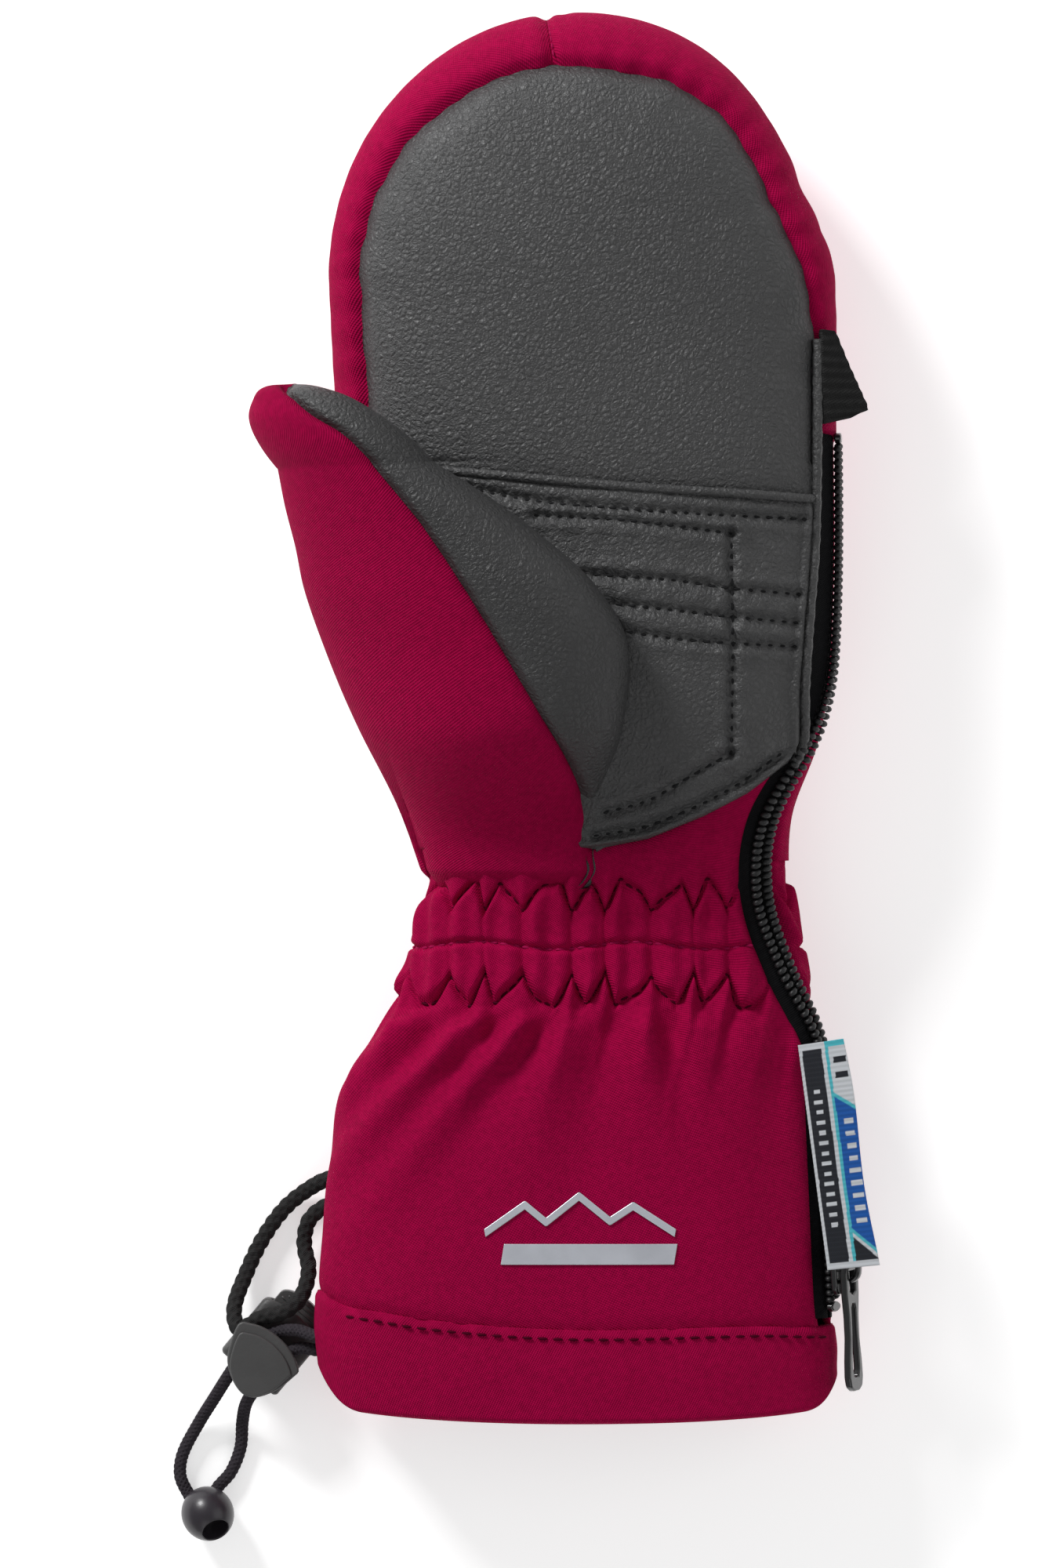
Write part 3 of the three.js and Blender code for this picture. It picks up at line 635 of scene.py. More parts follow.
def run_at(y, angle):
    """Running length from the top of the palm to an angle."""
    return blend_rows(RUNS, y, (angle - TABLE_ANGLE[0]) / STEP_ANGLE)


def on_body(y, run, depth=0.0):
    """Body point at a running length round the section."""
    y, run = np.broadcast_arrays(np.asarray(y, float), np.asarray(run, float))
    return body_point(y, blend_rows(ANGLES, y, (run - TABLE_RUN[0]) / STEP_RUN), depth)


# ---------------------------------------------------------------- lines of the mitten

HEM_LINE = curve([
    (-60, -105), (-47.4, -105.2), (-42.6, -107.4), (-35.5, -108.5), (-28.3, -109.6),
    (-11, -111.1), (4.2, -111.6), (33, -111.1), (47, -111.7), (60, -111.7)])
PATCH_FOOT = curve([
    (-60, -24), (0, -24), (3.2, -23.6), (13.3, -21.9), (23.6, -17.7), (31.5, -13.6), (39.2, -7.8),
    (46, -3)])
PATCH_HEAD = curve([(-40, 46.4), (-25.5, 45.7), (8.1, 42.7), (43.8, 40.4), (50, 40)])
BAND_WIDTH = curve([
    (0, 4.2), (13, 5), (32, 5.3), (46, 5.9), (62, 7.7), (83, 9.9), (101, 8.8), (120, 8), (150, 5.6),
    (180, 4.4)])
THUMB_SEAM = curve([
    (-31, 3.6), (-24.1, 3.2), (-17.5, 2.4), (-10.2, -0.4), (0.2, -6.4), (10.5, -12.6), (23, -20.3),
    (33.6, -27.3), (41.5, -33.4), (47.9, -38.6), (52.1, -42.9), (55.2, -48), (59.2, -52.2),
    (61, -53)])

# Sections of the thumb: height, middle, half width, middle's height and half thickness.
THUMB = np.array([
    (-31, -11.2, 15.4, 14, 10.5), (-16, -14.2, 17.8, 22.5, 15.2), (-1.4, -15.6, 23.7, 28.5, 18.2),
    (14, -18.8, 27, 33, 17.8), (24, -23.5, 25.8, 36, 16.8), (32, -28.6, 22.2, 38, 15.6),
    (39.5, -34.5, 18.1, 40, 14.2), (46, -40.3, 13.6, 41.5, 12.4), (51.3, -45, 10.2, 42.5, 10.6),
    (55, -48, 7.8, 43, 8.8), (57.8, -49.9, 5.4, 43.5, 6.4), (59.5, -51.7, 2.7, 44, 3.4),
    (60.4, -52.4, 0, 44.2, 0)])


def edge_stations(foot, head):
    """Stations round the hand: centre and edge in plan, and the finger band's width there. They run
    up the left side from foot, over the fingertips and down the right side to head."""
    left = np.linspace(foot, ARC_Y, int((ARC_Y - foot) * 1.6), endpoint=False)
    turn = np.linspace(180, 0, 300)
    right = np.linspace(ARC_Y, head, max(2, int((ARC_Y - head) * 1.6)))[1:]
    a = np.radians(turn)
    mid = float(middle(ARC_Y))
    half = float(RIGHT(ARC_Y) - LEFT(ARC_Y)) / 2
    reach = cap_scale(turn)
    centre = np.concatenate([
        np.stack([middle(left), left], -1), np.tile([mid, ARC_Y], (len(turn), 1)),
        np.stack([middle(right), right], -1)])
    edge = np.concatenate([
        np.stack([LEFT(left), left], -1),
        np.stack([mid + half * np.cos(a) * reach, ARC_Y + (TIP_Y - ARC_Y) * np.sin(a) * reach], -1),
        np.stack([RIGHT(right), right], -1)])
    width = np.concatenate([
        np.full(len(left), 4.4), BAND_WIDTH(turn),
        np.interp(right, [70.5, ARC_Y], [2.6, 4.2])])
    return centre, edge, width


def cap_scale(turn):
    """The fingertip arc is pulled in a little on its right shoulder; turn is in degrees."""
    ease = np.clip(turn / 10, 0, 1)
    return 1 - ease * (0.062 * bell(turn - 28, 27) + 0.016 * bell(turn - 21, 4.5))


def hand_gauge(x, y):
    """Gauge of the hand with its pulled-in shoulder."""
    rho = gauge(x, y)
    half = (RIGHT(ARC_Y) - LEFT(ARC_Y)) / 2
    turn = np.degrees(np.arctan2((y - ARC_Y) / (TIP_Y - ARC_Y), (x - middle(ARC_Y)) / half))
    return np.where(y > ARC_Y, rho / cap_scale(turn), rho)


def palm_top(x, y):
    """Height of the palm before any sewing."""
    return dome(hand_gauge(x, y), y)


def zip_frame(y):
    """Point on the fastener's middle line and its unit vectors: across, along and out. They come
    from small steps along the line and round the body, and their cross products."""
    at = lambda v, turn: body_point(v, ZIP_ANGLE(v) + turn)
    along = unit(at(y + 0.5, 0) - at(y - 0.5, 0))
    out = unit(np.cross(along, unit(at(y, 1) - at(y, -1))))
    out = np.where((out[..., :1] + out[..., 2:]) < 0, -out, out)
    return at(y, 0), unit(np.cross(along, out)), along, out


# ---------------------------------------------------------------- sewing and folds

def wrist_rows(c):
    """Uneven pleat places, and the heights of the wrist's upper zigzag, middle row and lower
    zigzag: triangle waves of the pleats with a slow sine on top."""
    c2 = c + 1.3 * np.sin(0.31 * c + 1) + 0.6 * np.sin(0.83 * c)
    wave = np.abs(((c2 / PLEAT) % 1) * 2 - 1) * 2 - 1
    upper = -32.4 - 2.7 * wave + 0.5 * np.sin(0.4 * c)
    lower = -49.8 + 2.9 * wave + 0.5 * np.sin(0.33 * c + 2)
    return c2, upper, -41.6 + 0.7 * np.sin(0.22 * c + 0.6), lower


def gathers(c, y):
    """Lift of the elasticated wrist: tufts between two zigzag rows and a straight row, and folds
    that run out of them and die away. c is the length round the wrist."""
    c2, upper, mid, lower = wrist_rows(c)
    steep = math.hypot(1, 4 * 2.8 / PLEAT)
    creases = [bell((y - upper) / steep, 0.5), 0.5 * bell(y - mid, 0.6), bell((y - lower) / steep, 0.5)]
    sewn = np.clip(sum(creases), 0, 1)
    inside = 1 / (1 + np.exp(-(y - lower) * 1.2)) / (1 + np.exp((y - upper) * 1.2))
    size = 1 + 0.3 * np.sin(1.3 * c) + 0.25 * np.sin(0.47 * c + 2)
    share = (c2 / PLEAT) % 1
    arch = np.sin(np.pi * share)
    fold = bell(np.minimum(share, 1 - share) * PLEAT, 0.7) * (1 + 0.6 * np.sin(0.9 * c + 2))
    crumple = 0.35 * ripple(0.8 * c, 0.55 * y, 4)
    tufts = inside * ((1.5 * size * (0.65 + 0.35 * arch) + crumple) * (1 - sewn) - 0.2 * fold)
    below = np.maximum(-50 - y, 0)
    above = np.maximum(y + 32, 0)
    fan = np.cos(TWO_PI * (c2 - 0.06 * below * np.sin(0.2 * c)) / PLEAT)
    fan = fan * 1.15 * (1 + 0.4 * np.sin(0.9 * c)) * np.exp(-below / 7) * (1 - inside) * (y < mid)
    tuck = np.cos(TWO_PI * c2 / PLEAT) * (1 + 0.4 * np.sin(0.7 * c + 1))
    fan = fan + 1.0 * tuck * np.exp(-above / 5) * (1 - inside) * (y > mid)
    return tufts - 0.95 * sewn + fan


# Folds of the cuff: start round the wrist, slant, height, reach and width.
DRAPES = [
    (-13, -0.6, 3.0, 22, 3.2), (-5, -0.1, 2.3, 24, 3.8), (7, 0.3, 3.2, 17, 2.8), (17, 0.2, 2.2, 22, 3.8),
    (-22, -0.75, 2.9, 24, 3.3), (-34, -0.75, 2.4, 24, 3.6), (27, 0.1, 2.0, 22, 3.6)]


def drapes(c, y):
    """Soft folds that fall from the wrist over the cuff: a ridge with a hollow beside it."""
    total = np.zeros(np.shape(c + y))
    drop = np.maximum(-53 - y, 0)
    for start, slant, height, reach, width in DRAPES:
        d = c - start - slant * drop - 0.004 * slant * drop ** 2
        w = width * (1 + drop / 40)
        fade = np.exp(-((drop / reach) ** 1.6)) * np.clip(drop / 4, 0, 1)
        total += height * fade * (bell(d, w) - 0.7 * bell(d - 1.35 * w, w))
    return total + 0.22 * ripple(0.11 * c, 0.08 * y, 2)


ROWS = {
    "head": [(-21.9, 42.7), (-7.4, 39.9), (5.1, 38.8), (23.6, 37.5), (42.2, 36.8)],
    "second": [(-7.4, 37.3), (8.1, 36.5), (28.3, 34.1)],
    "upright": [(28.4, 34.1), (28.7, 14), (28.5, -6.2)],
    "first bar": [(1.5, 26.6), (17.4, 25.5), (28.3, 24), (41.2, 23)],
    "middle bar": [(5.5, 21.3), (18.4, 19.9), (28.3, 18.8), (40.6, 17.8)],
    "last bar": [(7.5, 16.3), (18.4, 14.7), (28.3, 14), (40.4, 13.4)],
    "inner foot": [(5.4, -17), (13.3, -14.8), (21, -10.4), (28.3, -6.2)],
    "foot": [(3.6, -21.3), (12.6, -19.7), (22.4, -15.8), (30.2, -11.6), (37.4, -6.4)],
}


def patch_height(x, y):
    """Top of the palm patch: the palm with the patch's thickness, sunk and puckered along every
    row of sewing, with a rolled edge at its foot and its outer side."""
    z = palm_top(x, y) + 0.7 + 0.25 * ripple(0.16 * x, 0.14 * y, 5)
    for k, line in enumerate(ROWS.values()):
        d, along = line_distance(x, y, line)
        pucker = 1 + 0.3 * np.sin(TWO_PI * along / 2.1 + k)
        z = z - 0.62 * pucker * bell(d, 0.8)
        z = z + 0.3 * bell(d - 1.9, 1.1) * (1 + 0.4 * np.sin(along * 1.1 + k))
    foot = y - PATCH_FOOT(x)
    side = np.interp(y, [-8, 5.4, 18.3, 31.2, 41], [41.4, 41.3, 42.3, 43.4, 43.8]) - x
    z = z + 0.75 * bell(foot - 0.9, 0.75) + 0.7 * bell(side - 0.8, 0.7)
    return z - 0.9 * bell(foot, 0.35) - 0.4 * bell(PATCH_HEAD(x) - y, 1.2)


# ---------------------------------------------------------------- finishes

def feed(tree, socket, value):
    """Joins a socket to another one, or gives it a plain value."""
    if isinstance(value, bpy.types.NodeSocket):
        tree.links.new(value, socket)
    else:
        socket.default_value = value


class Wires:
    """Short way to add and join shader nodes in one tree."""

    def __init__(self, tree):
        """Keeps the tree whose nodes are made."""
        self.tree = tree

    def node(self, kind, inputs=None, **settings):
        """New node with its settings and its inputs."""
        n = self.tree.nodes.new(kind)
        for key, value in settings.items():
            setattr(n, key, value)
        for key, value in (inputs or {}).items():
            feed(self.tree, n.inputs[key], value)
        return n

    def sum(self, operation, a, b=0.0):
        """Result of one sum on one or two values."""
        return self.node("ShaderNodeMath", {0: a, 1: b}, operation=operation).outputs[0]

    def product(self, a, b):
        """One value times another."""
        return self.sum("MULTIPLY", a, b)

    def noise(self, vector, scale, detail, output=0):
        """Smooth noise of a scale, as a value or a colour."""
        inputs = {"Vector": vector, "Scale": scale, "Detail": detail}
        return self.node("ShaderNodeTexNoise", inputs).outputs[output]

    def group(self, name, vector, **inputs):
        """Outputs of a group of this file, laid on a vector."""
        inputs = {"Vector": vector, **inputs}
        return self.node("ShaderNodeGroup", inputs, node_tree=bpy.data.node_groups[name]).outputs

    def cloud(self, scale):
        """Slow change of tone over the object's own place."""
        return self.group("Soft unevenness", object_vector(self), Scale=scale)["Mask"]

    def mix(self, mask, dark, light):
        """Colour between two others by a mask."""
        inputs = {0: mask, 6: (*dark, 1), 7: (*light, 1)}
        return self.node("ShaderNodeMix", inputs, data_type="RGBA").outputs[2]


def new_group(name, inputs, outputs):
    """Empty shader group with a vector, named value inputs and outputs; returns its wires, its
    inputs and its end."""
    tree = bpy.data.node_groups.new(name, "ShaderNodeTree")
    tree.interface.new_socket("Vector", in_out="INPUT", socket_type="NodeSocketVector")
    for key in inputs:
        tree.interface.new_socket(key, in_out="INPUT", socket_type="NodeSocketFloat")
    for key in outputs:
        tree.interface.new_socket(key, in_out="OUTPUT", socket_type="NodeSocketFloat")
    w = Wires(tree)
    return w, w.node("NodeGroupInput").outputs, w.node("NodeGroupOutput")


def weave_group():
    """Twill: threads that float over in steps, as two slanted sine waves, with uneven yarn."""
    w, given, end = new_group("Twill weave", ["Thread"], ["Height", "Shade"])
    at = w.node("ShaderNodeSeparateXYZ", {0: given["Vector"]}).outputs
    turns = w.sum("DIVIDE", TWO_PI, given["Thread"])
    u = w.product(at[0], turns)
    v = w.product(at[1], turns)
    slant = w.sum("SINE", w.sum("ADD", u, w.product(v, 2)))
    cross = w.sum("SINE", w.sum("SUBTRACT", w.product(u, 2), v))
    yarn = w.noise(given["Vector"], 1800, 2)
    height = w.sum("ADD", w.product(slant, 0.5), w.product(cross, 0.25))
    w.tree.links.new(w.sum("ADD", height, yarn), end.inputs["Height"])
    # Shade is painted shade: the colour goes darker where the weave lies low.
    shade = w.sum("MULTIPLY_ADD", height, 0.45)
    shade.node.inputs[2].default_value = 0.5
    w.tree.links.new(shade, end.inputs["Shade"])


def grain_group():
    """Leather: pebbles from cells of two sizes, pressed flat on top, with creases between them."""
    w, given, end = new_group("Leather grain", ["Scale"], ["Height", "Crease"])
    bend = w.noise(given["Vector"], 420, 2, "Color")
    bent = w.node("ShaderNodeMix", {"Factor": 0.0012, 4: given["Vector"], 5: bend},
                  data_type="VECTOR", factor_mode="UNIFORM").outputs[1]

    def pebbles(scale, wall):
        """Height that rises from 0 on a cell's border to 1 at a distance from it."""
        cell = w.node("ShaderNodeTexVoronoi", {"Vector": bent, "Scale": scale}, feature="DISTANCE_TO_EDGE")
        steps = {0: cell.outputs["Distance"], 1: 0.0, 2: wall, 3: 0.0, 4: 1.0}
        return w.node("ShaderNodeMapRange", steps, interpolation_type="SMOOTHSTEP").outputs[0]
    large = pebbles(given["Scale"], 0.4)
    tiny = pebbles(w.product(given["Scale"], 2.3), 0.2)
    height = w.sum("ADD", w.product(large, 0.75), w.product(tiny, 0.25))
    w.tree.links.new(height, end.inputs["Height"])
    # Crease: mask of the creases, where the leather finish paints shade.
    w.tree.links.new(w.sum("SUBTRACT", 1.0, large), end.inputs["Crease"])


def cloud_group():
    """Slow change of tone over a piece: one smooth noise of three octaves."""
    w, given, end = new_group("Soft unevenness", ["Scale"], ["Mask"])
    w.tree.links.new(w.noise(given["Vector"], given["Scale"], 3), end.inputs["Mask"])


def new_material(name, **fixed):
    """Material with one Principled shader whose constant sockets are given."""
    material = bpy.data.materials.new(name)
    material.use_nodes = True
    w = Wires(material.node_tree)
    shader = material.node_tree.nodes["Principled BSDF"]
    for key, value in fixed.items():
        shader.inputs[key.replace("_", " ")].default_value = value
    return w, shader


def finish_shader(w, shader, colour, rough, height=None, strength=0.5, distance=0.0003):
    """Gives a shader its colour, its roughness and a bump from a height."""
    feed(w.tree, shader.inputs["Base Color"], colour)
    feed(w.tree, shader.inputs["Roughness"], rough)
    if height is not None:
        bump = w.node("ShaderNodeBump", {"Strength": strength, "Distance": distance, "Height": height})
        w.tree.links.new(bump.outputs[0], shader.inputs["Normal"])


def uv_vector(w):
    """Place on the piece's own UV map."""
    return w.node("ShaderNodeUVMap", uv_map="UVMap").outputs[0]


def object_vector(w):
    """Place in the object's own frame."""
    return w.node("ShaderNodeTexCoord").outputs["Object"]


def cloth_material(name, colour, thread=0.0009, rough=0.82, strength=0.7, sheen=0.0):
    """Woven cloth: painted shade and light of the twill threads around one colour, over slow patches of random tone.
    """
    w, shader = new_material(name, Sheen_Weight=sheen, Sheen_Roughness=0.45, Specular_IOR_Level=0.05)
    weave = w.group("Twill weave", uv_vector(w), Thread=thread)
    # Painted shade of the weave, plus slow random patches, picks the colour between a darker copy and a lighter copy.
    mask = w.sum("ADD", w.product(weave["Shade"], 0.45), w.product(w.cloud(28.0), 0.2))
    mask = w.sum("ADD", mask, w.product(w.cloud(850.0), 0.6))
    dark = [c * 0.36 for c in colour]
    light = [min(1, c * 1.25) for c in colour]
    finish_shader(w, shader, w.mix(mask, dark, light), rough, weave["Height"], strength, 0.00016)


def leather_material(name, colour):
    """Pebbled synthetic leather: painted shade darkens the creases between the pebbles, over slow patches of tone; a
    little worn to a shine on the pebbles.
    """
    w, shader = new_material(name, Specular_IOR_Level=0.5, Coat_Weight=0.04, Coat_Roughness=0.35)
    grain = w.group("Leather grain", object_vector(w), Scale=820.0)
    # Painted shade in the creases, mixed with slow random tone.
    tone = w.sum("ADD", w.product(grain["Crease"], 0.3), w.product(w.cloud(45.0), 0.35))
    # Painted light and shade: a lighter copy of the colour on the pebbles, a darker copy in the creases.
    hide = w.mix(tone, [c * 1.25 for c in colour], [c * 0.5 for c in colour])
    rough = w.sum("ADD", 0.42, w.product(tone, 0.22))
    finish_shader(w, shader, hide, rough, grain["Height"], 0.75, 0.0003)


def moulded_material(name, colour, rough, grain=2600.0, strength=0.12, metallic=0.0, coat=0.0):
    """Moulded or plated piece: fine even texture and a soft change of shine."""
    w, shader = new_material(name, Metallic=metallic, Coat_Weight=coat, Coat_Roughness=0.12)
    cloud = w.cloud(160.0)
    tone = w.mix(cloud, [c * 0.85 for c in colour], [min(1, c * 1.2) for c in colour])
    shine = w.sum("ADD", rough - 0.05, w.product(cloud, 0.1))
    finish_shader(w, shader, tone, shine, w.noise(object_vector(w), grain, 2), strength, 0.0001)


def label_material():
    """Woven label: the colours are in the mesh, and painted shade of the weave's rib is multiplied on top."""
    w, shader = new_material("label weave", Sheen_Weight=0.2, Specular_IOR_Level=0.3)
    weave = w.group("Twill weave", uv_vector(w), Thread=0.0004)
    paint = w.node("ShaderNodeAttribute", attribute_name="Weave").outputs["Color"]
    # Painted shade of the rib: grey where the weave lies low.
    rib = w.mix(weave["Shade"], (0.45, 0.45, 0.45), (1, 1, 1))
    shaded = w.node("ShaderNodeMix", {0: 0.35, 6: paint, 7: rib}, data_type="RGBA", blend_type="MULTIPLY")
    finish_shader(w, shader, shaded.outputs[2], 0.75, weave["Height"], 0.6, 0.0002)


# ---------------------------------------------------------------- settings

class MittenSettings(bpy.types.PropertyGroup):
    """Colours and sizes of the mitten"""
    shell_colour: bpy.props.FloatVectorProperty(
        name="Shell colour", description="Twill of the bands, thumb and cuff", subtype="COLOR",
        size=3, min=0, max=1, default=(0.37, 0.0012, 0.054))
    knuckle_colour: bpy.props.FloatVectorProperty(
        name="Knuckle colour", description="Panel over the knuckles", subtype="COLOR",
        size=3, min=0, max=1, default=(0.8, 0.003, 0.2))
    leather_colour: bpy.props.FloatVectorProperty(
        name="Leather colour", description="Palm, patch and inner thumb", subtype="COLOR",
        size=3, min=0, max=1, default=(0.055, 0.055, 0.056))
    puff: bpy.props.FloatProperty(
        name="Puff", description="How far the padding lifts the panels between seams",
        unit="LENGTH", default=0.0009, min=0, max=0.003)
    stitch_pitch: bpy.props.FloatProperty(
        name="Stitch pitch", description="Distance between stitches", unit="LENGTH",
        default=0.0021, min=0.001, max=0.006)
    braid_pitch: bpy.props.FloatProperty(
        name="Braid pitch", description="Length of one step of the cords' braid", unit="LENGTH",
        default=0.0016, min=0.0005, max=0.01)


class Step(bpy.types.Operator):
    """One piece, or a group of like pieces"""
    bl_options = {"REGISTER", "UNDO"}

    def execute(self, context):
        """Builds with the scene's settings."""
        self.build(context.scene.mitten)
        return {"FINISHED"}


class MITTEN_OT_finishes(Step):
    """Cloths, leathers, plastics and metals of the whole mitten"""
    bl_idname = "mitten.finishes"
    bl_label = "Finishes"

    def build(self, given):
        """Makes the shared effects first, then every finish that reads them."""
        weave_group()
        grain_group()
        cloud_group()
        for cloth in (
                ("shell twill", given.shell_colour), ("knuckle twill", given.knuckle_colour),
                ("ribbon weave", (0.027, 0.027, 0.027), 0.0009, 0.75, 0.6),
                ("tape weave", (0.009, 0.009, 0.01), 0.0008, 0.7, 0.6),
                ("tether braid", (0.031, 0.031, 0.031), 0.0007, 0.8, 0.5),
                ("elastic braid", (0.049, 0.043, 0.051), 0.0005, 0.7, 0.5),
                ("thread dark", (0.02, 0.02, 0.021), 0.0003, 0.7, 0.3),
                ("thread crimson", (0.34, 0.006, 0.07), 0.0003, 0.7, 0.3),
                # Crimson thread darkened to paint the shade of sunk stitches.
                ("thread deep", (0.07, 0.0005, 0.012), 0.0003, 0.7, 0.3),
                ("fleece", (0.035, 0.035, 0.04), 0.0015, 0.95, 0.9, 0.5),
                ("wadding", (0.72, 0.7, 0.66), 0.002, 0.95, 0.9)):
            cloth_material(*cloth)
        leather_material("palm leather", given.leather_colour)
        leather_material("thumb leather", [c * 0.68 for c in given.leather_colour])
        moulded_material("lock plastic", (0.06, 0.06, 0.06), 0.52, 1900, 0.5)
        moulded_material("bead plastic", (0.024, 0.02, 0.026), 0.36, strength=0.1, coat=0.1)
        moulded_material("coil nylon", (0.007, 0.007, 0.008), 0.48, 5200, strength=0.4)
        moulded_material("zip metal", (0.012, 0.012, 0.013), 0.2, strength=0.05, coat=0.6)
        moulded_material("steel", (0.55, 0.55, 0.57), 0.28, strength=0.05, metallic=1.0)
        moulded_material("silver print", (0.6, 0.62, 0.68), 0.34, 3000, 0.25, 0.35)
        moulded_material("membrane", (0.55, 0.63, 0.68), 0.35)
        label_material()


# ---------------------------------------------------------------- hand

def band_grid(centre, edge, width, rows):
    """Band from its inner rim over the side to the back seam. Each column turns an angle that
    gives reach sin^(2/power) and height cos^(2/power)."""
    reach = np.linalg.norm(edge - centre, axis=1)
    inner = 1 - width / reach
    y = centre[:, 1]
    thick, mid = THICK(y), level(y)
    first = np.arcsin(inner ** (POWER / 2))
    last = np.pi - np.arccos(((mid - BACK_Z) / thick) ** (POWER / 2))
    t = np.linspace(0, 1, rows)[:, None]
    turn = first + (last - first) * t
    rho = np.sin(turn) ** (2 / POWER)
    plan = centre + (edge - centre) * rho[..., None]
    z = mid + thick * signed_power(np.cos(turn), 2 / POWER)
    grid = np.concatenate([plan, z[..., None]], -1)
    step = np.linalg.norm(np.diff(grid, axis=0), axis=2)
    e = np.concatenate([np.zeros((1, len(y))), np.cumsum(step, 0)])
    return grid, e, e[-1] - e


def band_lift(e, rest, s, puff):
    """Soft roll between two seams with small puckers that run in from the inner seam."""
    roll = (1 - np.exp(-e / 2.4)) * (1 - np.exp(-rest / 3))
    pucker = np.sin(TWO_PI * s / 6.3 + 1.3 * np.sin(0.05 * s)) * np.exp(-e / 4.5)
    lift = 1.6 * puff * roll + 0.28 * pucker + 0.3 * ripple(0.09 * s, 0.2 * e, 3) * roll
    return lift - 1.2 * bell(e, 1.2) - 0.9 * bell(rest, 1.2)


def back_grid():
    """Back of the hand under its seam: rows across, with one column held at the knuckle panel."""
    y = np.concatenate([
        np.linspace(-25, KNUCKLE_Y[0], 90, endpoint=False), np.linspace(*KNUCKLE_Y, 110, endpoint=False),
        KNUCKLE_Y[1] + 16.6 * np.sin(np.linspace(0, math.pi / 2, 26))])
    base = np.minimum(y, ARC_Y)
    cap = np.maximum(y - ARC_Y, 0) / (TIP_Y - ARC_Y)
    half = (RIGHT(base) - LEFT(base)) / 2
    thick, mid = THICK(base), level(base)
    seam = (1 - ((mid - BACK_Z) / thick) ** POWER) ** (1 / POWER) * 0.995
    reach = half * np.sqrt(np.maximum(seam ** 2 - cap ** 2, 0.0004))
    hold = np.minimum(KNUCKLE_X, middle(y) + 0.6 * reach)
    left = np.linspace(0, 1, 110, endpoint=False)
    right = np.linspace(0, 1, 60)
    x = np.concatenate([
        (middle(y) - reach)[:, None] + left * (hold - middle(y) + reach)[:, None],
        hold[:, None] + right * (middle(y) + reach - hold)[:, None]], 1)
    yy = np.broadcast_to(y[:, None], x.shape)
    z = crown(x, yy, -1)
    bulge = np.clip((np.arange(170) - 156) / 13, 0, 1) ** 1.5
    return np.stack([x + 2.9 * bulge * bell(yy - 97.5, 2.6), yy, z], -1)


class MITTEN_OT_hand(Step):
    """Crimson bands round the fingers, and the back of the hand"""
    bl_idname = "mitten.hand"
    bl_label = "Hand shell"

    def build(self, given):
        """Splits the band at the fingertips and draws its seam in as a bell."""
        puff = given.puff / MM
        centre, edge, width = edge_stations(-23.5, 70.5)
        s = running(edge)
        cut = int(np.argmin(np.abs(edge[:, 0] - SPLIT_X) + 99 * (edge[:, 1] < ARC_Y)))
        grid, e, rest = band_grid(centre, edge, width, 90)
        lift = band_lift(e, rest, s, puff)
        lift = lift - 1.1 * bell(s - s[cut], 1.3) - 0.35 * bell(s - s[cut] - 3, 1.5)
        out = grid - np.array([2, 40, 16])
        for name, part, node in (
                ("Finger band, thumb side", slice(0, cut + 1), "finger_band_left"),
                ("Finger band, little finger side", slice(cut, None), "finger_band_right")):
            band = slab(name, grid[:, part], out[:, part], lift[:, part], "shell twill")
            soft(band, "shell_fabric", 0.75, node)
        line = grid[6:60, cut] + 0.2
        lines = [part[::5] for part in (line, *frames(line))]
        place(beads_along("Band seam stitches", *lines, (0.7, 0.2, 0.2), "thread crimson"),
              "mitten", "shell_fabric")
        self.back(puff)
        self.side_strip()

    def back(self, puff):
        """Back of the hand and its knuckle panel, puffed a little and drawn in along their seams."""
        grid = back_grid()
        x, y = grid[..., 0], grid[..., 1]
        foot, head = KNUCKLE_Y
        notch = (y >= foot - 0.01) & (y <= head + 0.01)
        column = np.arange(grid.shape[1])[None] >= 110
        seam = np.minimum(np.abs(y - foot), np.abs(y - head))
        seam = np.where(x > KNUCKLE_X, seam, np.hypot(seam * ~notch, x - KNUCKLE_X))
        seam = np.minimum(seam, np.where(notch, np.abs(x - KNUCKLE_X), 99))
        ends = np.linalg.norm(grid[:, :1] - grid, axis=2), np.linalg.norm(grid[:, -1:] - grid, axis=2)
        lift = 0.8 * puff * (1 - bell(np.minimum(*ends), 4)) - 1.0 * bell(np.minimum(*ends), 1.2)
        lift = lift - 0.9 * bell(seam, 1.1) + 0.25 * ripple(0.12 * x, 0.1 * y, 7)
        inside = notch & column
        cell = inside[:-1, :-1] & inside[1:, :-1] & inside[:-1, 1:] & inside[1:, 1:]
        down = np.broadcast_to(np.array([0, 0, -1.0]), grid.shape)
        soft(slab("Back of the hand", grid, down, lift, "shell twill", keep=~cell),
             "shell_fabric", 0.6, "back_panel")
        soft(slab("Knuckle panel", grid, down, lift, "knuckle twill", keep=cell),
             "knuckle_fabric", 0.6, "back_knuckle_panel")

    def side_strip(self):
        """Strip from the fastener, or above it from the palm's side, down to the back seam."""
        y = np.linspace(-26, 72, 260)[:, None]
        thick, mid = THICK(y), level(y)
        seam = 180 - np.degrees(np.arccos(((mid - BACK_Z) / thick) ** (POWER / 2)))
        above = np.clip((y - 51.5) / 2, 0, 1)
        start = (zip_run(y) + EDGE_GAP) * (1 - above) + (over_wrist(43.9, y) + 0.6) * above
        end = run_at(y, seam) + 0.4
        t = np.linspace(0, 1, 50)[None]
        c = start + t * (end - start)
        yy = y + 0 * c
        e = np.minimum(t, 1 - t) * (end - start)
        lift = 0.5 * (1 - np.exp(-e / 2)) - 0.9 * bell(e, 1.0) + 0.15 * ripple(0.3 * c, 0.15 * yy, 3)
        soft(slab("Side strip of the hand", on_body(yy, c), outward(yy, c), lift, "shell twill"),
             "shell_fabric", 0.5, "back_panel")


# ---------------------------------------------------------------- palm

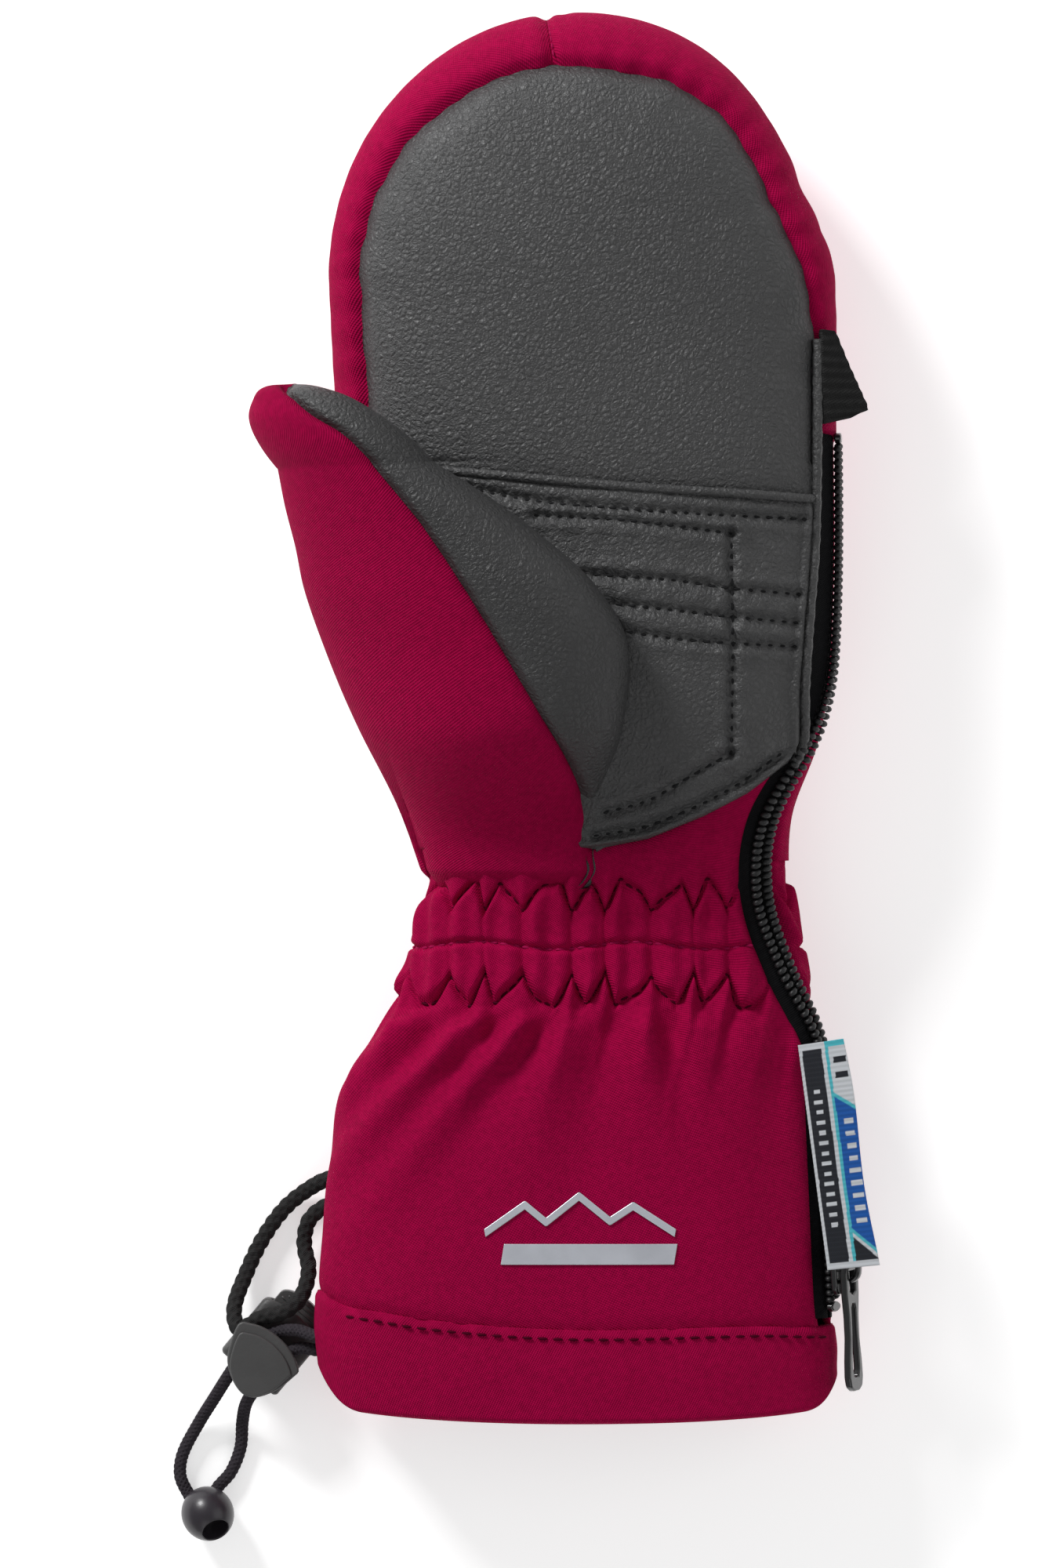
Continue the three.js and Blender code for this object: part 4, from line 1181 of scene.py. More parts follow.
def leather_height(x, y, inset):
    """Palm leather: puffed between its seams, with rucks that run in from the curved seam."""
    turn = np.arctan2(y - 66, x - 0.6)
    ruck = np.sin(turn * 21 + 1.4 * np.sin(turn * 5)) * np.exp(-inset / 4.5) * (y > 60)
    z = palm_top(x, y) + 0.9 * (1 - np.exp(-inset / 3.2)) + 0.3 * ruck
    z = z + 0.35 * ripple(0.12 * x, 0.1 * y, 4)
    seam = np.where(y > 47, inset, 9)
    return z - 1.25 * bell(seam, 1.3)


def palm_outline():
    """Outline of the upper palm: inner rim of the bands, the straight piped side and the seam
    below."""
    centre, edge, width = edge_stations(45.8, 70.5)
    inner = 1 - width / np.linalg.norm(edge - centre, axis=1)
    rim = centre + (edge - centre) * inner[:, None]
    side = [(44.2, 69), (44.1, 53.4), (43.9, 40.9)]
    foot = [(8.1, 43.2), (-25.5, 46.2)]
    rim = rim[rim[:, 0] < 44.4]
    return resample(np.vstack([rim, side, foot]), 520, True)


def patch_outline():
    """Outline of the lower palm: piped seam, rolled side, curved foot and the thumb's edge."""
    points = [
        (-38.6, 46.2), (-25.5, 45.3), (8.1, 42.3), (43.6, 40.0), (43.4, 31.2), (42.1, 18.3), (41.2, 5.4),
        (41.2, -4), (39.2, -7.8), (31.5, -13.6), (23.6, -17.7), (13.3, -21.9), (3.6, -23.8), (0.8, -23.4),
        (-2, -16), (-6, -6), (-14, 8), (-27, 28), (-37, 41)]
    return resample(points, 560, True)


class MITTEN_OT_palm(Step):
    """Leather palm and its wear patch, with pipings and rows of sewing"""
    bl_idname = "mitten.palm"
    bl_label = "Palm"

    def build(self, given):
        """Two leather discs, their pipings and every row of sewing."""
        top = disc("Upper palm leather", palm_outline(), (2, 78), leather_height, "palm leather", 120)
        soft(top, "palm_leather", 0.7, "palm_leather")
        low = disc("Palm wear patch", patch_outline(), (8, 8),
                   lambda x, y, inset: patch_height(x, y), "palm leather", 150)
        soft(low, "palm_leather", 0.5, "palm_patch")
        across = spline([(-34, 46.2), (-25.5, 45.7), (8.1, 42.7), (30, 41.4), (43.6, 40.6)], 150)
        self.piping("Piping across the palm", across, 0.85, 0.55, "patch_piping")
        side = spline([
            (44.6, 70), (44.4, 53.4), (44.2, 41.1), (43.9, 31.2), (42.9, 18.3), (42.1, 5.4),
            (42.0, -4), (40.2, -8.2)], 220)
        self.piping("Piping down the side", side, 1.0, 0.75, "side_piping")
        pitch = given.stitch_pitch / MM
        for name, line in ROWS.items():
            plan = spline(line, max(3, int(running(line)[-1] / pitch)))
            path = np.column_stack([plan, patch_height(*plan.T) - 0.02])
            stitches("Sewing, " + name, path, (0.72, 0.3, 0.26), "thread dark", "palm_leather")

    def piping(self, name, plan, radius, lift, node):
        """Rolled leather over a plan line: a round bar whose radius wavers along and round it."""
        z = palm_top(plan[:, 0], plan[:, 1]) + lift
        s = np.linspace(0, 1, len(plan)) * running(plan)[-1]
        a = whole_turn(14)
        r = radius * (1 + 0.06 * np.sin(s[:, None] * 1.9 + np.sin(s[:, None] * 0.7)) + 0.02 * np.cos(a * 3))
        obj = tube(name, np.column_stack([plan, z]), r, "palm leather", 14)
        place(obj, "mitten", "palm_leather", node)


# ---------------------------------------------------------------- thumb

THUMB_TILT = 0.22


def thumb_surface(row_count, columns, start, end):
    """Thumb surface between two shares of its girth, from root to tip. Each section is an ellipse,
    tilted so that its outer side hangs lower; share 0 is at the seam on top and 1 is all the way
    round. The rows close in on the tip by the square root of what is left."""
    y, tip = THUMB[:, 0], 46.0
    tip_rows = row_count - int(row_count * 0.7)
    t = np.concatenate([
        np.linspace(y[0], tip, row_count - tip_rows, endpoint=False),
        tip + (y[-1] - tip) * np.sin(np.linspace(0, math.pi / 2, tip_rows))])
    mid, half, mid_z, tall = [curve(np.stack([y, THUMB[:, k]], -1))(t) for k in (1, 2, 3, 4)]
    rounding = np.sqrt(np.clip(1 - ((t - tip) / (y[-1] - tip)) ** 2, 0, 1)) ** 0.9
    half = np.where(t > tip, np.interp(tip, y, THUMB[:, 2]) * rounding, half)
    tall = np.where(t > tip, np.interp(tip, y, THUMB[:, 4]) * rounding, tall)
    seam = np.clip((THUMB_SEAM(t) - mid) / np.maximum(half, 0.05), -0.96, 0.96)
    top = np.arcsin(seam)
    a = top[:, None] + np.linspace(start, end, columns)[None] * TWO_PI
    x = half[:, None] * np.sin(a)
    z = mid_z[:, None] + tall[:, None] * np.cos(a) + THUMB_TILT * x
    plan_x = mid[:, None] + x
    yy = np.broadcast_to(t[:, None], a.shape)
    share = np.clip((-1 - yy) / 26, 0, 1)
    share = share * share * (3 - 2 * share) * (np.cos(a) > 0)
    z = z + (crown(plan_x, yy) + 0.6 - z) * share
    grid = np.stack([plan_x, yy, np.maximum(z, 4)], -1)
    out = np.stack([np.sin(a), np.zeros_like(a), np.cos(a)], -1)
    return grid, out


class MITTEN_OT_thumb(Step):
    """Thumb: crimson outer panel, leather inner panel and their seam"""
    bl_idname = "mitten.thumb"
    bl_label = "Thumb"

    def build(self, given):
        """Two shares of one surface, drawn in at their seam and waved a little."""
        puff = given.puff / MM
        for name, end, look, slot_name, node, seed in (
                ("Thumb shell outer", -0.56, "shell twill", "shell_fabric", "thumb_outer", 6),
                ("Thumb leather inner", 0.44, "thumb leather", "palm_leather", "thumb_inner", 1)):
            grid, out = thumb_surface(190, 150, 0.0, end)
            e = np.cumsum(np.linalg.norm(np.diff(grid, axis=1, prepend=grid[:, :1]), axis=2), 1)
            y = grid[..., 1]
            folds = 0.45 * ripple(0.16 * e, 0.13 * y, seed)
            pucker = 0.1 * np.sin(TWO_PI * y / 6.1 + 0.6 * np.sin(0.3 * y)) * np.exp(-e / 3.5)
            give = 1 - np.exp(-e / 3)
            near_tip = np.clip((57 - y) / 6, 0, 1)
            lift = puff * give - 1.05 * bell(e, 1.2) + (folds * give + pucker) * near_tip
            lift = lift - 2.2 * np.clip((-27.2 - y) / 3.6, 0, 1) ** 1.5
            soft(slab(name, grid, out, lift, look), slot_name, 0.7, node)


# ---------------------------------------------------------------- gauntlet

def angle_over(x, y):
    """Angle round the section at a plan point on the front: arcsin of the share of the half width,
    raised to half the section's power."""
    share = np.clip((x - middle(y)) / ((RIGHT(y) - LEFT(y)) / 2), -1, 1)
    return np.degrees(np.arcsin(signed_power(share, POWER / 2)))


def over_wrist(x, y):
    """Running length from the top of the palm to a plan point on the front."""
    return run_at(y, angle_over(x, y))


def outward(y, c):
    """Outward direction: from the body to the same place on a body 1 mm bigger."""
    return unit(on_body(y, c, -1.0) - on_body(y, c, 0.0))


def front_lift(c, y):
    """Lift of the front of wrist and cuff: gathers and drapes over the tables' surface."""
    return gathers(c, y) + drapes(c, y) + 0.35


def back_lift(c, y):
    """Lift of the back of wrist and cuff: weaker gathers and irregular waves."""
    return 0.8 * gathers(c, y) + 0.3 * ripple(0.1 * c, 0.06 * y, 9)


def gauntlet_grid(rows, columns, c_start, c_end, foot, head):
    """Grid of heights and running lengths between two side lines, its foot and head following
    lines that depend on the place across."""
    s = np.linspace(0, 1, columns)[None]
    y = np.full((rows, columns), -60.0)
    r = np.linspace(0, 1, rows)[:, None]
    for _ in range(2):
        c = c_start(y) + s * (c_end(y) - c_start(y))
        x = on_body(y, c)[..., 0]
        low, high = foot(x[:1]), head(x[-1:])
        y = low + r * (high - low)
    c = c_start(y) + s * (c_end(y) - c_start(y))
    return y, c


def zip_run(y, turn=0):
    """Running length to the fastener's line, or to the same line reached the other way round."""
    return run_at(y, ZIP_ANGLE(y) - turn)


class MITTEN_OT_gauntlet(Step):
    """Gathered wrist and cuff, front and back, with their rows of sewing"""
    bl_idname = "mitten.gauntlet"
    bl_label = "Gauntlet"

    def build(self, given):
        """Front and back between the fastener and the left side, then the sewing."""
        left_side = lambda y: run_at(y, np.full(np.shape(y), -101.0))
        y, c = gauntlet_grid(
            250, 300, left_side, lambda y: zip_run(y) - EDGE_GAP,
            lambda x: HEM_LINE(x) - 1.0, lambda x: PATCH_FOOT(x) + 1.2)
        self.panel("Gauntlet front", y, c, front_lift, ("wrist_front", "cuff_front"))
        y, c = gauntlet_grid(
            200, 330, lambda y: zip_run(y, 360) + EDGE_GAP, left_side,
            lambda x: np.full(np.shape(x), HEM_Y - 1.0), lambda x: np.full(np.shape(x), -23.0))
        self.panel("Gauntlet back", y, c, back_lift, ("wrist_back", "cuff_back"))
        self.sewing(given)

    def panel(self, name, y, c, lift, nodes):
        """One side of the gauntlet: its lift dies away at each seam, where the cloth is sunk."""
        e = np.minimum(c - c[:, :1], c[:, -1:] - c)
        height = lift(c, y) * (1 - np.exp(-(e / 2.2) ** 2)) - 1.3 * bell(e, 1.1)
        foot = y - y[:1]
        height = height * (1 - np.exp(-foot / 2)) - 0.35 * bell(foot, 1.4)
        head = y[-1:] - y
        height = height * (1 - np.exp(-head / 2.5)) - 1.0 * bell(head, 1.6)
        soft(slab(name, on_body(y, c), outward(y, c), height, "shell twill"), "shell_fabric", 0.55, *nodes)

    def sewing(self, given):
        """Rows of stitches that follow the wrist's creases and end short of the fastener."""
        c = np.arange(-62, 52, 0.05)
        upper, mid, lower = wrist_rows(c)[1:]
        # The zigzag rows take the darkened thread, painted shade of their creases; the middle row takes the plain
        # crimson thread.
        for name, y, thread in (
                ("upper zigzag", upper, "thread deep"), ("lower zigzag", lower, "thread deep"),
                ("middle row", mid, "thread crimson")):
            line = on_body(y, c) + outward(y, c) * (front_lift(c, y) + 0.12)[:, None]
            line = line[c < zip_run(y) - 6]
            path = resample(line, int(running(line)[-1] / (given.stitch_pitch / MM)))
            stitches("Sewing, " + name, path, (0.85, 0.3, 0.24), thread)


# ---------------------------------------------------------------- hem and lining

def mouth_line(x):
    """Curved lower edge of the hem: half an ellipse, turned up at both corners."""
    corner = np.clip((np.abs(x - 0.5) - 41.5) / 6, 0, 1.1)
    return -125.3 - 4.4 * np.sqrt(np.clip(1 - (x / 52) ** 2, 0, 1)) + 5.0 * corner ** 2.6


def hem_rings(angles):
    """Section of the hem at each angle: down the outside from the seam, round the lip as half a
    turn and back up the inside. Rolls and hollows come from sums of bells and sines."""
    top_x = body_point(np.full(angles.shape, HEM_Y), angles)[:, 0]
    front = np.clip((np.cos(np.radians(angles)) + 0.45) / 0.25, 0, 1)
    top = HEM_Y + (HEM_LINE(top_x) - HEM_Y) * front
    low = mouth_line(top_x)
    t = np.concatenate([
        np.linspace(0.04, 1, 44), np.full(12, 1.0), np.linspace(1, 0.04, 26)])[None]
    lip = np.concatenate([np.zeros(44), np.linspace(0, math.pi, 14)[1:-1], np.full(26, math.pi)])[None]
    run = run_at(np.full(angles.shape, HEM_Y), angles)[:, None]
    roll = 0.35 * bell(t - 0.5, 0.34) + 0.25 * ripple(0.16 * run, 3 * t, 5)
    pucker = 0.3 * np.sin(TWO_PI * run / 6.8 + np.sin(0.11 * run)) * np.exp(-(t - 0.04) * 7)
    seam = -0.5 * bell(t - 0.04, 0.045)
    outer = 0.4 + roll + pucker + seam
    inner = -3.3 + 0.2 * ripple(0.2 * run, 4 * t, 8)
    share = (1 - np.cos(lip)) / 2
    depth = -(outer * (1 - share) + inner * share)
    y = top[:, None] - t * (top - low)[:, None] + LIP * (1 - np.sin(lip)) * (t > 0.999)
    wall = (lip == 0) | (lip > 3.14)
    y = np.where(wall, top[:, None] - t * (top - low - LIP)[:, None], y)
    return body_point(y, angles[:, None], depth)


class MITTEN_OT_hem(Step):
    """Padded hem of the cuff with its seam stitches and the tunnel of the drawcord"""
    bl_idname = "mitten.hem"
    bl_label = "Hem"

    def build(self, given):
        """One closed loft round the mouth, and a row of stitches below its seam."""
        rings = hem_rings(np.linspace(-240, 120, 460, endpoint=False))
        soft(loft("Padded hem", rings, None, "shell twill"), "shell_fabric", 0.6, "cuff_hem")
        x = np.linspace(-41, 45, 400)
        y = HEM_LINE(x) - 2.4
        path = resample(body_point(y, angle_over(x, y), -0.75), int(88 / (1.25 * given.stitch_pitch / MM)))
        # The hem's stitches take the darkened thread, painted shade of the sunk stitch line.
        stitches("Sewing, hem", path, (0.95, 0.28, 0.3), "thread deep")


class MITTEN_OT_lining(Step):
    """Fleece lining, and the finishes of the hidden layers"""
    bl_idname = "mitten.lining"
    bl_label = "Lining"

    def build(self, given):
        """Three layers by their depths, and finishes for solids that stay as they are."""
        self.layer("Fleece layer", "fleece", "fleece", "fleece_lining", (5.5, 6.9), -124.5, 0.35)
        self.layer("Membrane layer", "membrane", "membrane_film", "membrane", (4.5, 4.9), -110, 0)
        self.layer("Wadding layer", "wadding", "padding", "wadding", (2.9, 3.9), -110, 0.1)
        looks = {
            "lock_spring": "steel",
            "hem_elastic": "elastic braid", "wrist_elastic_front": "elastic braid",
            "wrist_elastic_back": "elastic braid", "zip_gusset": "shell twill"}
        for node, look in looks.items():
            mesh = frame["nodes"][node].data
            mesh.materials.clear()
            mesh.materials.append(bpy.data.materials[look])

    def layer(self, name, look, slot_name, node, depths, mouth, fuzz):
        """One layer inside the shell: the body drawn in to two depths, shrunk to a point over the
        fingertips as the square root of what is left of an ellipse."""
        reach = TIP_Y - ARC_Y - depths[1]
        t = np.concatenate([
            np.linspace(mouth, ARC_Y, 200), ARC_Y + reach * np.sin(np.linspace(0.02, 1.55, 30))])
        cap = np.maximum(t - ARC_Y, 0) / reach
        shrink = np.sqrt(1 - np.clip(cap, 0, 0.9995) ** 2)[:, None, None]
        angles = np.linspace(0, 360, 160, endpoint=False)[None]
        base = np.minimum(t, ARC_Y)[:, None]
        skins = []
        for depth, rough in zip(depths, (0.0, fuzz)):
            pile = rough * ripple(3.1 * np.radians(angles) * 14, 0.9 * t[:, None], 2)
            ring = body_point(base, angles, depth + pile)
            heart = np.stack([middle(base), base, level(base)], -1)
            ring = heart + (ring - heart) * shrink
            ring[..., 1] = t[:, None]
            skins.append(ring)
        rings = np.concatenate([skins[0][::-1], skins[1]])
        piece = loft(name, rings, [rings[0].mean(0), rings[-1].mean(0)], look)
        place(piece, "mitten", slot_name, node)


# ---------------------------------------------------------------- slide fastener

def slider_pose():
    """Turn and place of the slider: the fastener's unit vectors and middle point there."""
    point, side, along, face = zip_frame(np.array(SLIDER_Y))
    return np.stack([side, along, face], 1), point


class MITTEN_OT_fastener(Step):
    """Slide fastener: tapes, coils, stops, slider and puller"""
    bl_idname = "mitten.fastener"
    bl_label = "Slide fastener"

    def build(self, given):
        """Tapes that sink away from the coils by a power of the distance, then the rest."""
        y = np.linspace(-110.7, 53, 420)[:, None]
        across = np.linspace(0.6, 8.2, 34)[None]
        for side, name, node in ((-1, "Zip tape, palm side", "zip_tape_front"),
                                 (1, "Zip tape, back side", "zip_tape_back")):
            start = zip_run(y) if side < 0 else zip_run(y, 360)
            depth = 0.1 + 0.42 * np.maximum(across - 2.2, 0) ** 0.8 + 0 * y
            grid = on_body(y + 0 * across, start + side * across, depth)
            face = outward(y + 0 * across, start + side * across)
            lift = 0.12 * np.sin(TWO_PI * y / 1.7) * bell(across - 2.6, 0.5) + 0 * across
            place(slab(name, grid, face, lift, "tape weave", 0.7), "mitten", "webbing", node)
        self.coils()
        self.stops()
        self.slider()
        self.puller()

    def coils(self):
        """Two rows of turned lozenges either side of the middle line, half a step apart."""
        y = np.arange(-107.2, 50.8, 1.3)
        for side, name, node in ((-1, "Zip coil, palm side", "zip_coil_front"),
                                 (1, "Zip coil, back side", "zip_coil_back")):
            at = y + (0.55 if side > 0 else 0)
            point, across, along, out = zip_frame(at)
            centre = point + across * side * 1.2 + out * 0.85
            obj = beads_along(name, centre, across * side, along, out, (1.1, 0.66, 0.85),
                              "coil nylon", turn=0.28 * side, rings=7, sides=10)
            place(obj, "mitten", "zip_coil", node)

    def stops(self):
        """Rounded metal stops at both ends, each on the middle of its solid."""
        for name, node, y in (("Upper stop", "zip_top_stop", 52.0), ("Lower stop", "zip_end_stop", -109.0)):
            across, along, out = zip_frame(np.array(y))[1:]
            pose = np.stack([across, along, out], 1), np.array(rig.box(node)).mean(0) / MM - out * 0.9
            stop = plate(name, arc(0, 0, 2.1, 1.0, 0, 360, 23)[:-1], 0.25, 1.55, "zip metal", 0.35, 3, pose)
            place(stop, "mitten", "zip_metal", node)

    def slider(self):
        """Slider: an upper and a lower plate of one outline, and an arched bridge on top."""
        pose = slider_pose()
        top = [(-2.3, -4.9), (2.3, -4.9), (3.2, -3.9), (3.55, 0.5), (3.6, 3.4), (2.7, 4.9), (0.7, 4.2),
               (-0.7, 4.2), (-2.7, 4.9), (-3.6, 3.4), (-3.55, 0.5), (-3.2, -3.9)]
        top = resample(top, 60, True)
        body = plate("Slider body", top, 1.9, 3.1, "zip metal", 0.42, 4, pose)
        under = plate("Slider under plate", top * 0.95, -2.9, -2.1, "zip metal", 0.25, 3, pose)
        path = spline([(0, -2.5, 3.0), (0, -2.45, 4.6), (0, -1.6, 5.9), (0, 0, 6.25), (0, 1.6, 5.9),
                       (0, 2.45, 4.6), (0, 2.5, 3.0)], 30)
        a = whole_turn(16)[None, :, None]
        across = np.array([1.0, 0, 0])
        up = np.cross(across, unit(np.gradient(path, axis=0)))
        rings = moved(path[:, None] + 0.88 * signed_power(np.cos(a), 0.6) * across
                      + 0.5 * np.sin(a) * up[:, None], pose)
        hood = loft("Slider bridge", rings, [rings[0].mean(0), rings[-1].mean(0)], "zip metal")
        for part in (body, under, hood):
            place(part, "slider", "zip_metal", "zip_slider")

    def puller(self):
        """Puller: a waisted plate with an eye for the bridge and a long slot, and its pin."""
        pose = slider_pose()
        outline = np.array([
            (-2.5, 0.6), (-2.95, -1.5), (-2.85, -5), (-2.3, -9), (-2.25, -13), (-2.9, -17.2), (-3.1, -20.2),
            (-2.6, -22.0), (-1.2, -22.8), (1.2, -22.8), (2.6, -22.0), (3.1, -20.2), (2.9, -17.2),
            (2.25, -13), (2.3, -9), (2.85, -5), (2.95, -1.5), (2.5, 0.6), (1.45, 0.75), (1.35, -4.3),
            (0, -5.0), (-1.35, -4.3), (-1.45, 0.75)])
        opening = np.array([
            (-0.95, -7.4), (-0.55, -6.6), (0.55, -6.6), (0.95, -7.4), (1.0, -11.5), (1.3, -15.5),
            (1.45, -18.6), (0.9, -20.2), (-0.9, -20.2), (-1.45, -18.6), (-1.3, -15.5), (-1.0, -11.5)])
        tab = plate("Puller tab", resample(outline, 130, True), 3.62, 4.98, "zip metal", 0.36, 4, pose,
                    resample(opening, 60, True), (-5.0, -6.6, -22.8, -20.2))
        path = np.column_stack([np.linspace(-2.5, 2.5, 12), np.zeros(12), np.full(12, 4.3)])
        pin = tube("Puller pin", moved(path, pose), 0.72, "zip metal", 16)
        for part in (tab, pin):
            place(part, "puller", "zip_metal", "zip_puller")


# ---------------------------------------------------------------- label, tab and print

def label_colours(u, v):
    """Plain woven blocks: a black strip with a white edge, a blue field with a cyan line, and a
    few generic bars. u runs across in mm and v down in mm."""
    u, v = np.broadcast_arrays(u, v)
    shape = np.shape(u)
    blue, cyan = (0.004, 0.112, 0.485), (0.087, 0.597, 0.694)
    white, black = (0.755, 0.791, 0.831), (0.01, 0.013, 0.021)
    paint = np.broadcast_to(blue, (*shape, 3)).copy()
    top = 9.5 + 0.77 * (u - 5.5)
    foot = 35.5 + 1.03 * (u - 5.5)
    for field, colour in (
            (v < top + 0.8, cyan), (v < top, white), (v < 1.1, cyan), (v > foot - 0.8, cyan),
            (v > foot, white), (v > foot + 0.8, black), (u < 5.5, cyan), (u < 4.9, white),
            (u < 4.2, black), (u < 0.6, white), ((v < 1.2) & (u < 4.9), white), (v > 40.7, white)):
        paint[field] = colour
    for start in np.arange(9, 34, 1.9):
        paint[(np.abs(v - start) < 0.36) & (np.abs(u - 2.4) < 0.95 - 0.3 * (start % 1.3))] = white
    for start in np.arange(15, 34, 2.3):
        paint[(np.abs(v - start) < 0.45) & (np.abs(u - 7.5) < 1.1 - 0.3 * (start % 1.1))] = white
    for start in (3.6, 6.4):
        paint[(np.abs(v - start) < 0.6) & (np.abs(u - 7.4) < 1.2)] = black
    return paint


class MITTEN_OT_trims(Step):
    """Flag label, ribbon tab and silver print"""
    bl_idname = "mitten.trims"
    bl_label = "Label, tab and print"

    def build(self, given):
        """Label, folded ribbon and silver print."""
        self.label()
        self.tab()
        self.transfer()

    def label(self):
        """Woven label: straight between two side lines, with a slow wave and fine ribs."""
        v = np.linspace(0, 1, 300)[:, None]
        u = np.linspace(0, 1, 74)[None]
        left = np.array([41, -60]) + v[..., None] * np.array([5.4, -41.4])
        right = np.array([49.3, -58.7]) + v[..., None] * np.array([6.5, -41.7])
        plan = left + u[..., None] * (right - left)
        plan[..., 0] += 0.35 * np.sin(v * 7) * u
        z = np.interp(plan[..., 0], [41, 46, 55.8], [23.9, 25.4, 26.0]) + 0.25 * np.sin(v * 9) * u
        grid = np.concatenate([plan, z[..., None]], -1)
        wide = np.linalg.norm(grid[:, -1] - grid[:, 0], axis=1)[:, None]
        paint = label_colours(u * wide, v * LABEL_LONG)
        up = np.broadcast_to(np.array([0, 0, 1.0]), grid.shape)
        rib = 0.05 * np.sin(TWO_PI * v * LABEL_LONG / 0.9) + 0 * u
        obj = slab("Woven flag label", grid, up, rib, "label weave", 0.8)
        layer = obj.data.color_attributes.new("Weave", "FLOAT_COLOR", "POINT")
        rgba = np.ones((2, *paint.shape[:2], 4))
        rgba[..., :3] = paint[None]
        layer.data.foreach_set("color", rgba.astype(np.float32).ravel())
        place(obj, "mitten", "label_weave", "flag_label")
        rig.sheet(obj, (0.0102, 0.0419), "hung", rests_on=("gauntlet_front",),
                 area=0.0094 * 0.0419)

    def tab(self):
        """Folded ribbon: a fan between a straight inner line and a bent outer line, ribbed."""
        v = np.linspace(0, 1, 120)[:, None]
        u = np.linspace(0, 1, 40)[None]
        inner = np.array([45.4, 71.8]) + v[..., None] * np.array([0.2, -17.4])
        bends = [0, 0.06, 0.35, 0.8, 0.86, 0.94, 1]
        outer = np.stack([np.interp(v, bends, [47.6, 48, 50.4, 53.8, 54.0, 52.6, 50.6]),
                          np.interp(v, bends, [71.6, 71.2, 65.5, 58.2, 57.2, 56.6, 55.6])], -1)
        plan = inner + u[..., None] * (outer - inner)
        z = 29.4 - 0.57 * (plan[..., 0] - 44)
        grid = np.concatenate([plan, z[..., None]], -1)
        up = np.broadcast_to(np.array([0.4, 0, 1.0]), grid.shape)
        rib = 0.12 * np.cos(TWO_PI * v * 9) + 0 * u
        obj = slab("Folded ribbon tab", grid, up, rib, "ribbon weave", 1.3)
        place(obj, "mitten", "webbing", "ribbon_tab")

    def transfer(self):
        """Silver print: a bar and a line of peaks, both laid on the cuff's folds."""
        def lay(name, plan, node):
            """Lays a plan grid on the cuff, 0.32 mm above its cloth."""
            x, y = plan[..., 0], plan[..., 1]
            c = over_wrist(x, y)
            grid = on_body(y, c) + outward(y, c) * (front_lift(c, y) + 0.32)[..., None]
            obj = slab(name, grid, outward(y, c), np.zeros(x.shape), "silver print", 0.3)
            place(obj, "mitten", "silver_print", node)

        u = np.linspace(0, 1, 160)[:, None, None]
        v = np.linspace(0, 1, 24)[None, :, None]
        low = np.array([-13.6, -100.2]) + u * np.array([31.4, 0])
        high = np.array([-13.0, -96.4]) + u * np.array([31.4, 0])
        lay("Silver bar", low + v * (high - low), "transfer_bar")
        peaks = np.array([
            (-16.5, -94.4), (-9.2, -89.2), (-5.4, -92.4), (0.6, -87.6), (6.2, -92.2), (10.4, -89.4),
            (18, -94.4)])
        line = resample(peaks, 240)
        side = np.stack([-np.gradient(line[:, 1]), np.gradient(line[:, 0])], -1)
        side = unit(side)[:, None]
        v = np.linspace(-0.75, 0.75, 9)[None, :, None]
        lay("Silver peaks", line[:, None] + v * (np.array([0, 1.0]) * 0.7 + side * 0.3), "transfer_peaks")


# ---------------------------------------------------------------- cords

ELASTIC_OUTER = [
    (-0.0435, -0.1156, 0.0152), (-0.0475, -0.1146, 0.0146), (-0.052, -0.1134, 0.0112),
    (-0.0565, -0.1142, 0.0089), (-0.061, -0.1168, 0.0089), (-0.0642, -0.1214, 0.0086),
    (-0.0672, -0.1262, 0.005), (-0.0704, -0.1314, 0.002), (-0.0734, -0.1372, 0.0014),
    (-0.0739, -0.1412, 0.0014), (-0.0724, -0.1446, 0.0017), (-0.0698, -0.148, 0.0044)]
ELASTIC_INNER = [
    (-0.0435, -0.1176, 0.0118), (-0.0475, -0.1172, 0.0112), (-0.0518, -0.117, 0.0093),
    (-0.0554, -0.1198, 0.0089), (-0.0586, -0.1234, 0.0089), (-0.0612, -0.127, 0.0064),
    (-0.0622, -0.131, 0.0026), (-0.0626, -0.136, 0.0014), (-0.0644, -0.1406, 0.0014),
    (-0.0672, -0.144, 0.0019), (-0.0682, -0.148, 0.0044)]
TETHER = [
    (-0.04, -0.0854, 0.0074), (-0.0456, -0.0854, 0.006), (-0.0502, -0.0878, 0.0028),
    (-0.0545, -0.0914, 0.0018), (-0.0586, -0.0972, 0.0017), (-0.0616, -0.1036, 0.0026),
    (-0.0636, -0.1096, 0.0064), (-0.0626, -0.1133, 0.0089), (-0.0584, -0.1112, 0.009),
    (-0.0544, -0.1102, 0.0094), (-0.0512, -0.1076, 0.0088), (-0.0497, -0.1026, 0.0064),
    (-0.0506, -0.0976, 0.0042), (-0.0496, -0.0932, 0.0046), (-0.046, -0.0904, 0.006),
    (-0.04, -0.0894, 0.0074)]
BEAD_CENTRE = np.array([-68.6, -148.1, 5.1])
BEAD_AXIS = np.array([0.35, -0.62, 0.7])


def braided(name, points, radius, pitch, strands, material):
    """Braided cord: two sets of strands wound both ways, their crests added to a round bar."""
    length = np.linalg.norm(np.diff(spline(np.array(points) / MM, 60), axis=0), axis=1).sum()
    path = spline(np.array(points) / MM, int(length / (pitch / 7)))
    s = np.linspace(0, length, len(path))[:, None]
    sides = 36
    a = whole_turn(sides)[None]
    wind = TWO_PI * s / (pitch * strands / 2)
    crest = np.maximum(np.cos(strands / 2 * (a + wind)), np.cos(strands / 2 * (a - wind)))
    r = radius * (0.9 + 0.125 * crest)
    obj = tube(name, path, r, material, sides)
    return obj, path * MM, length * MM


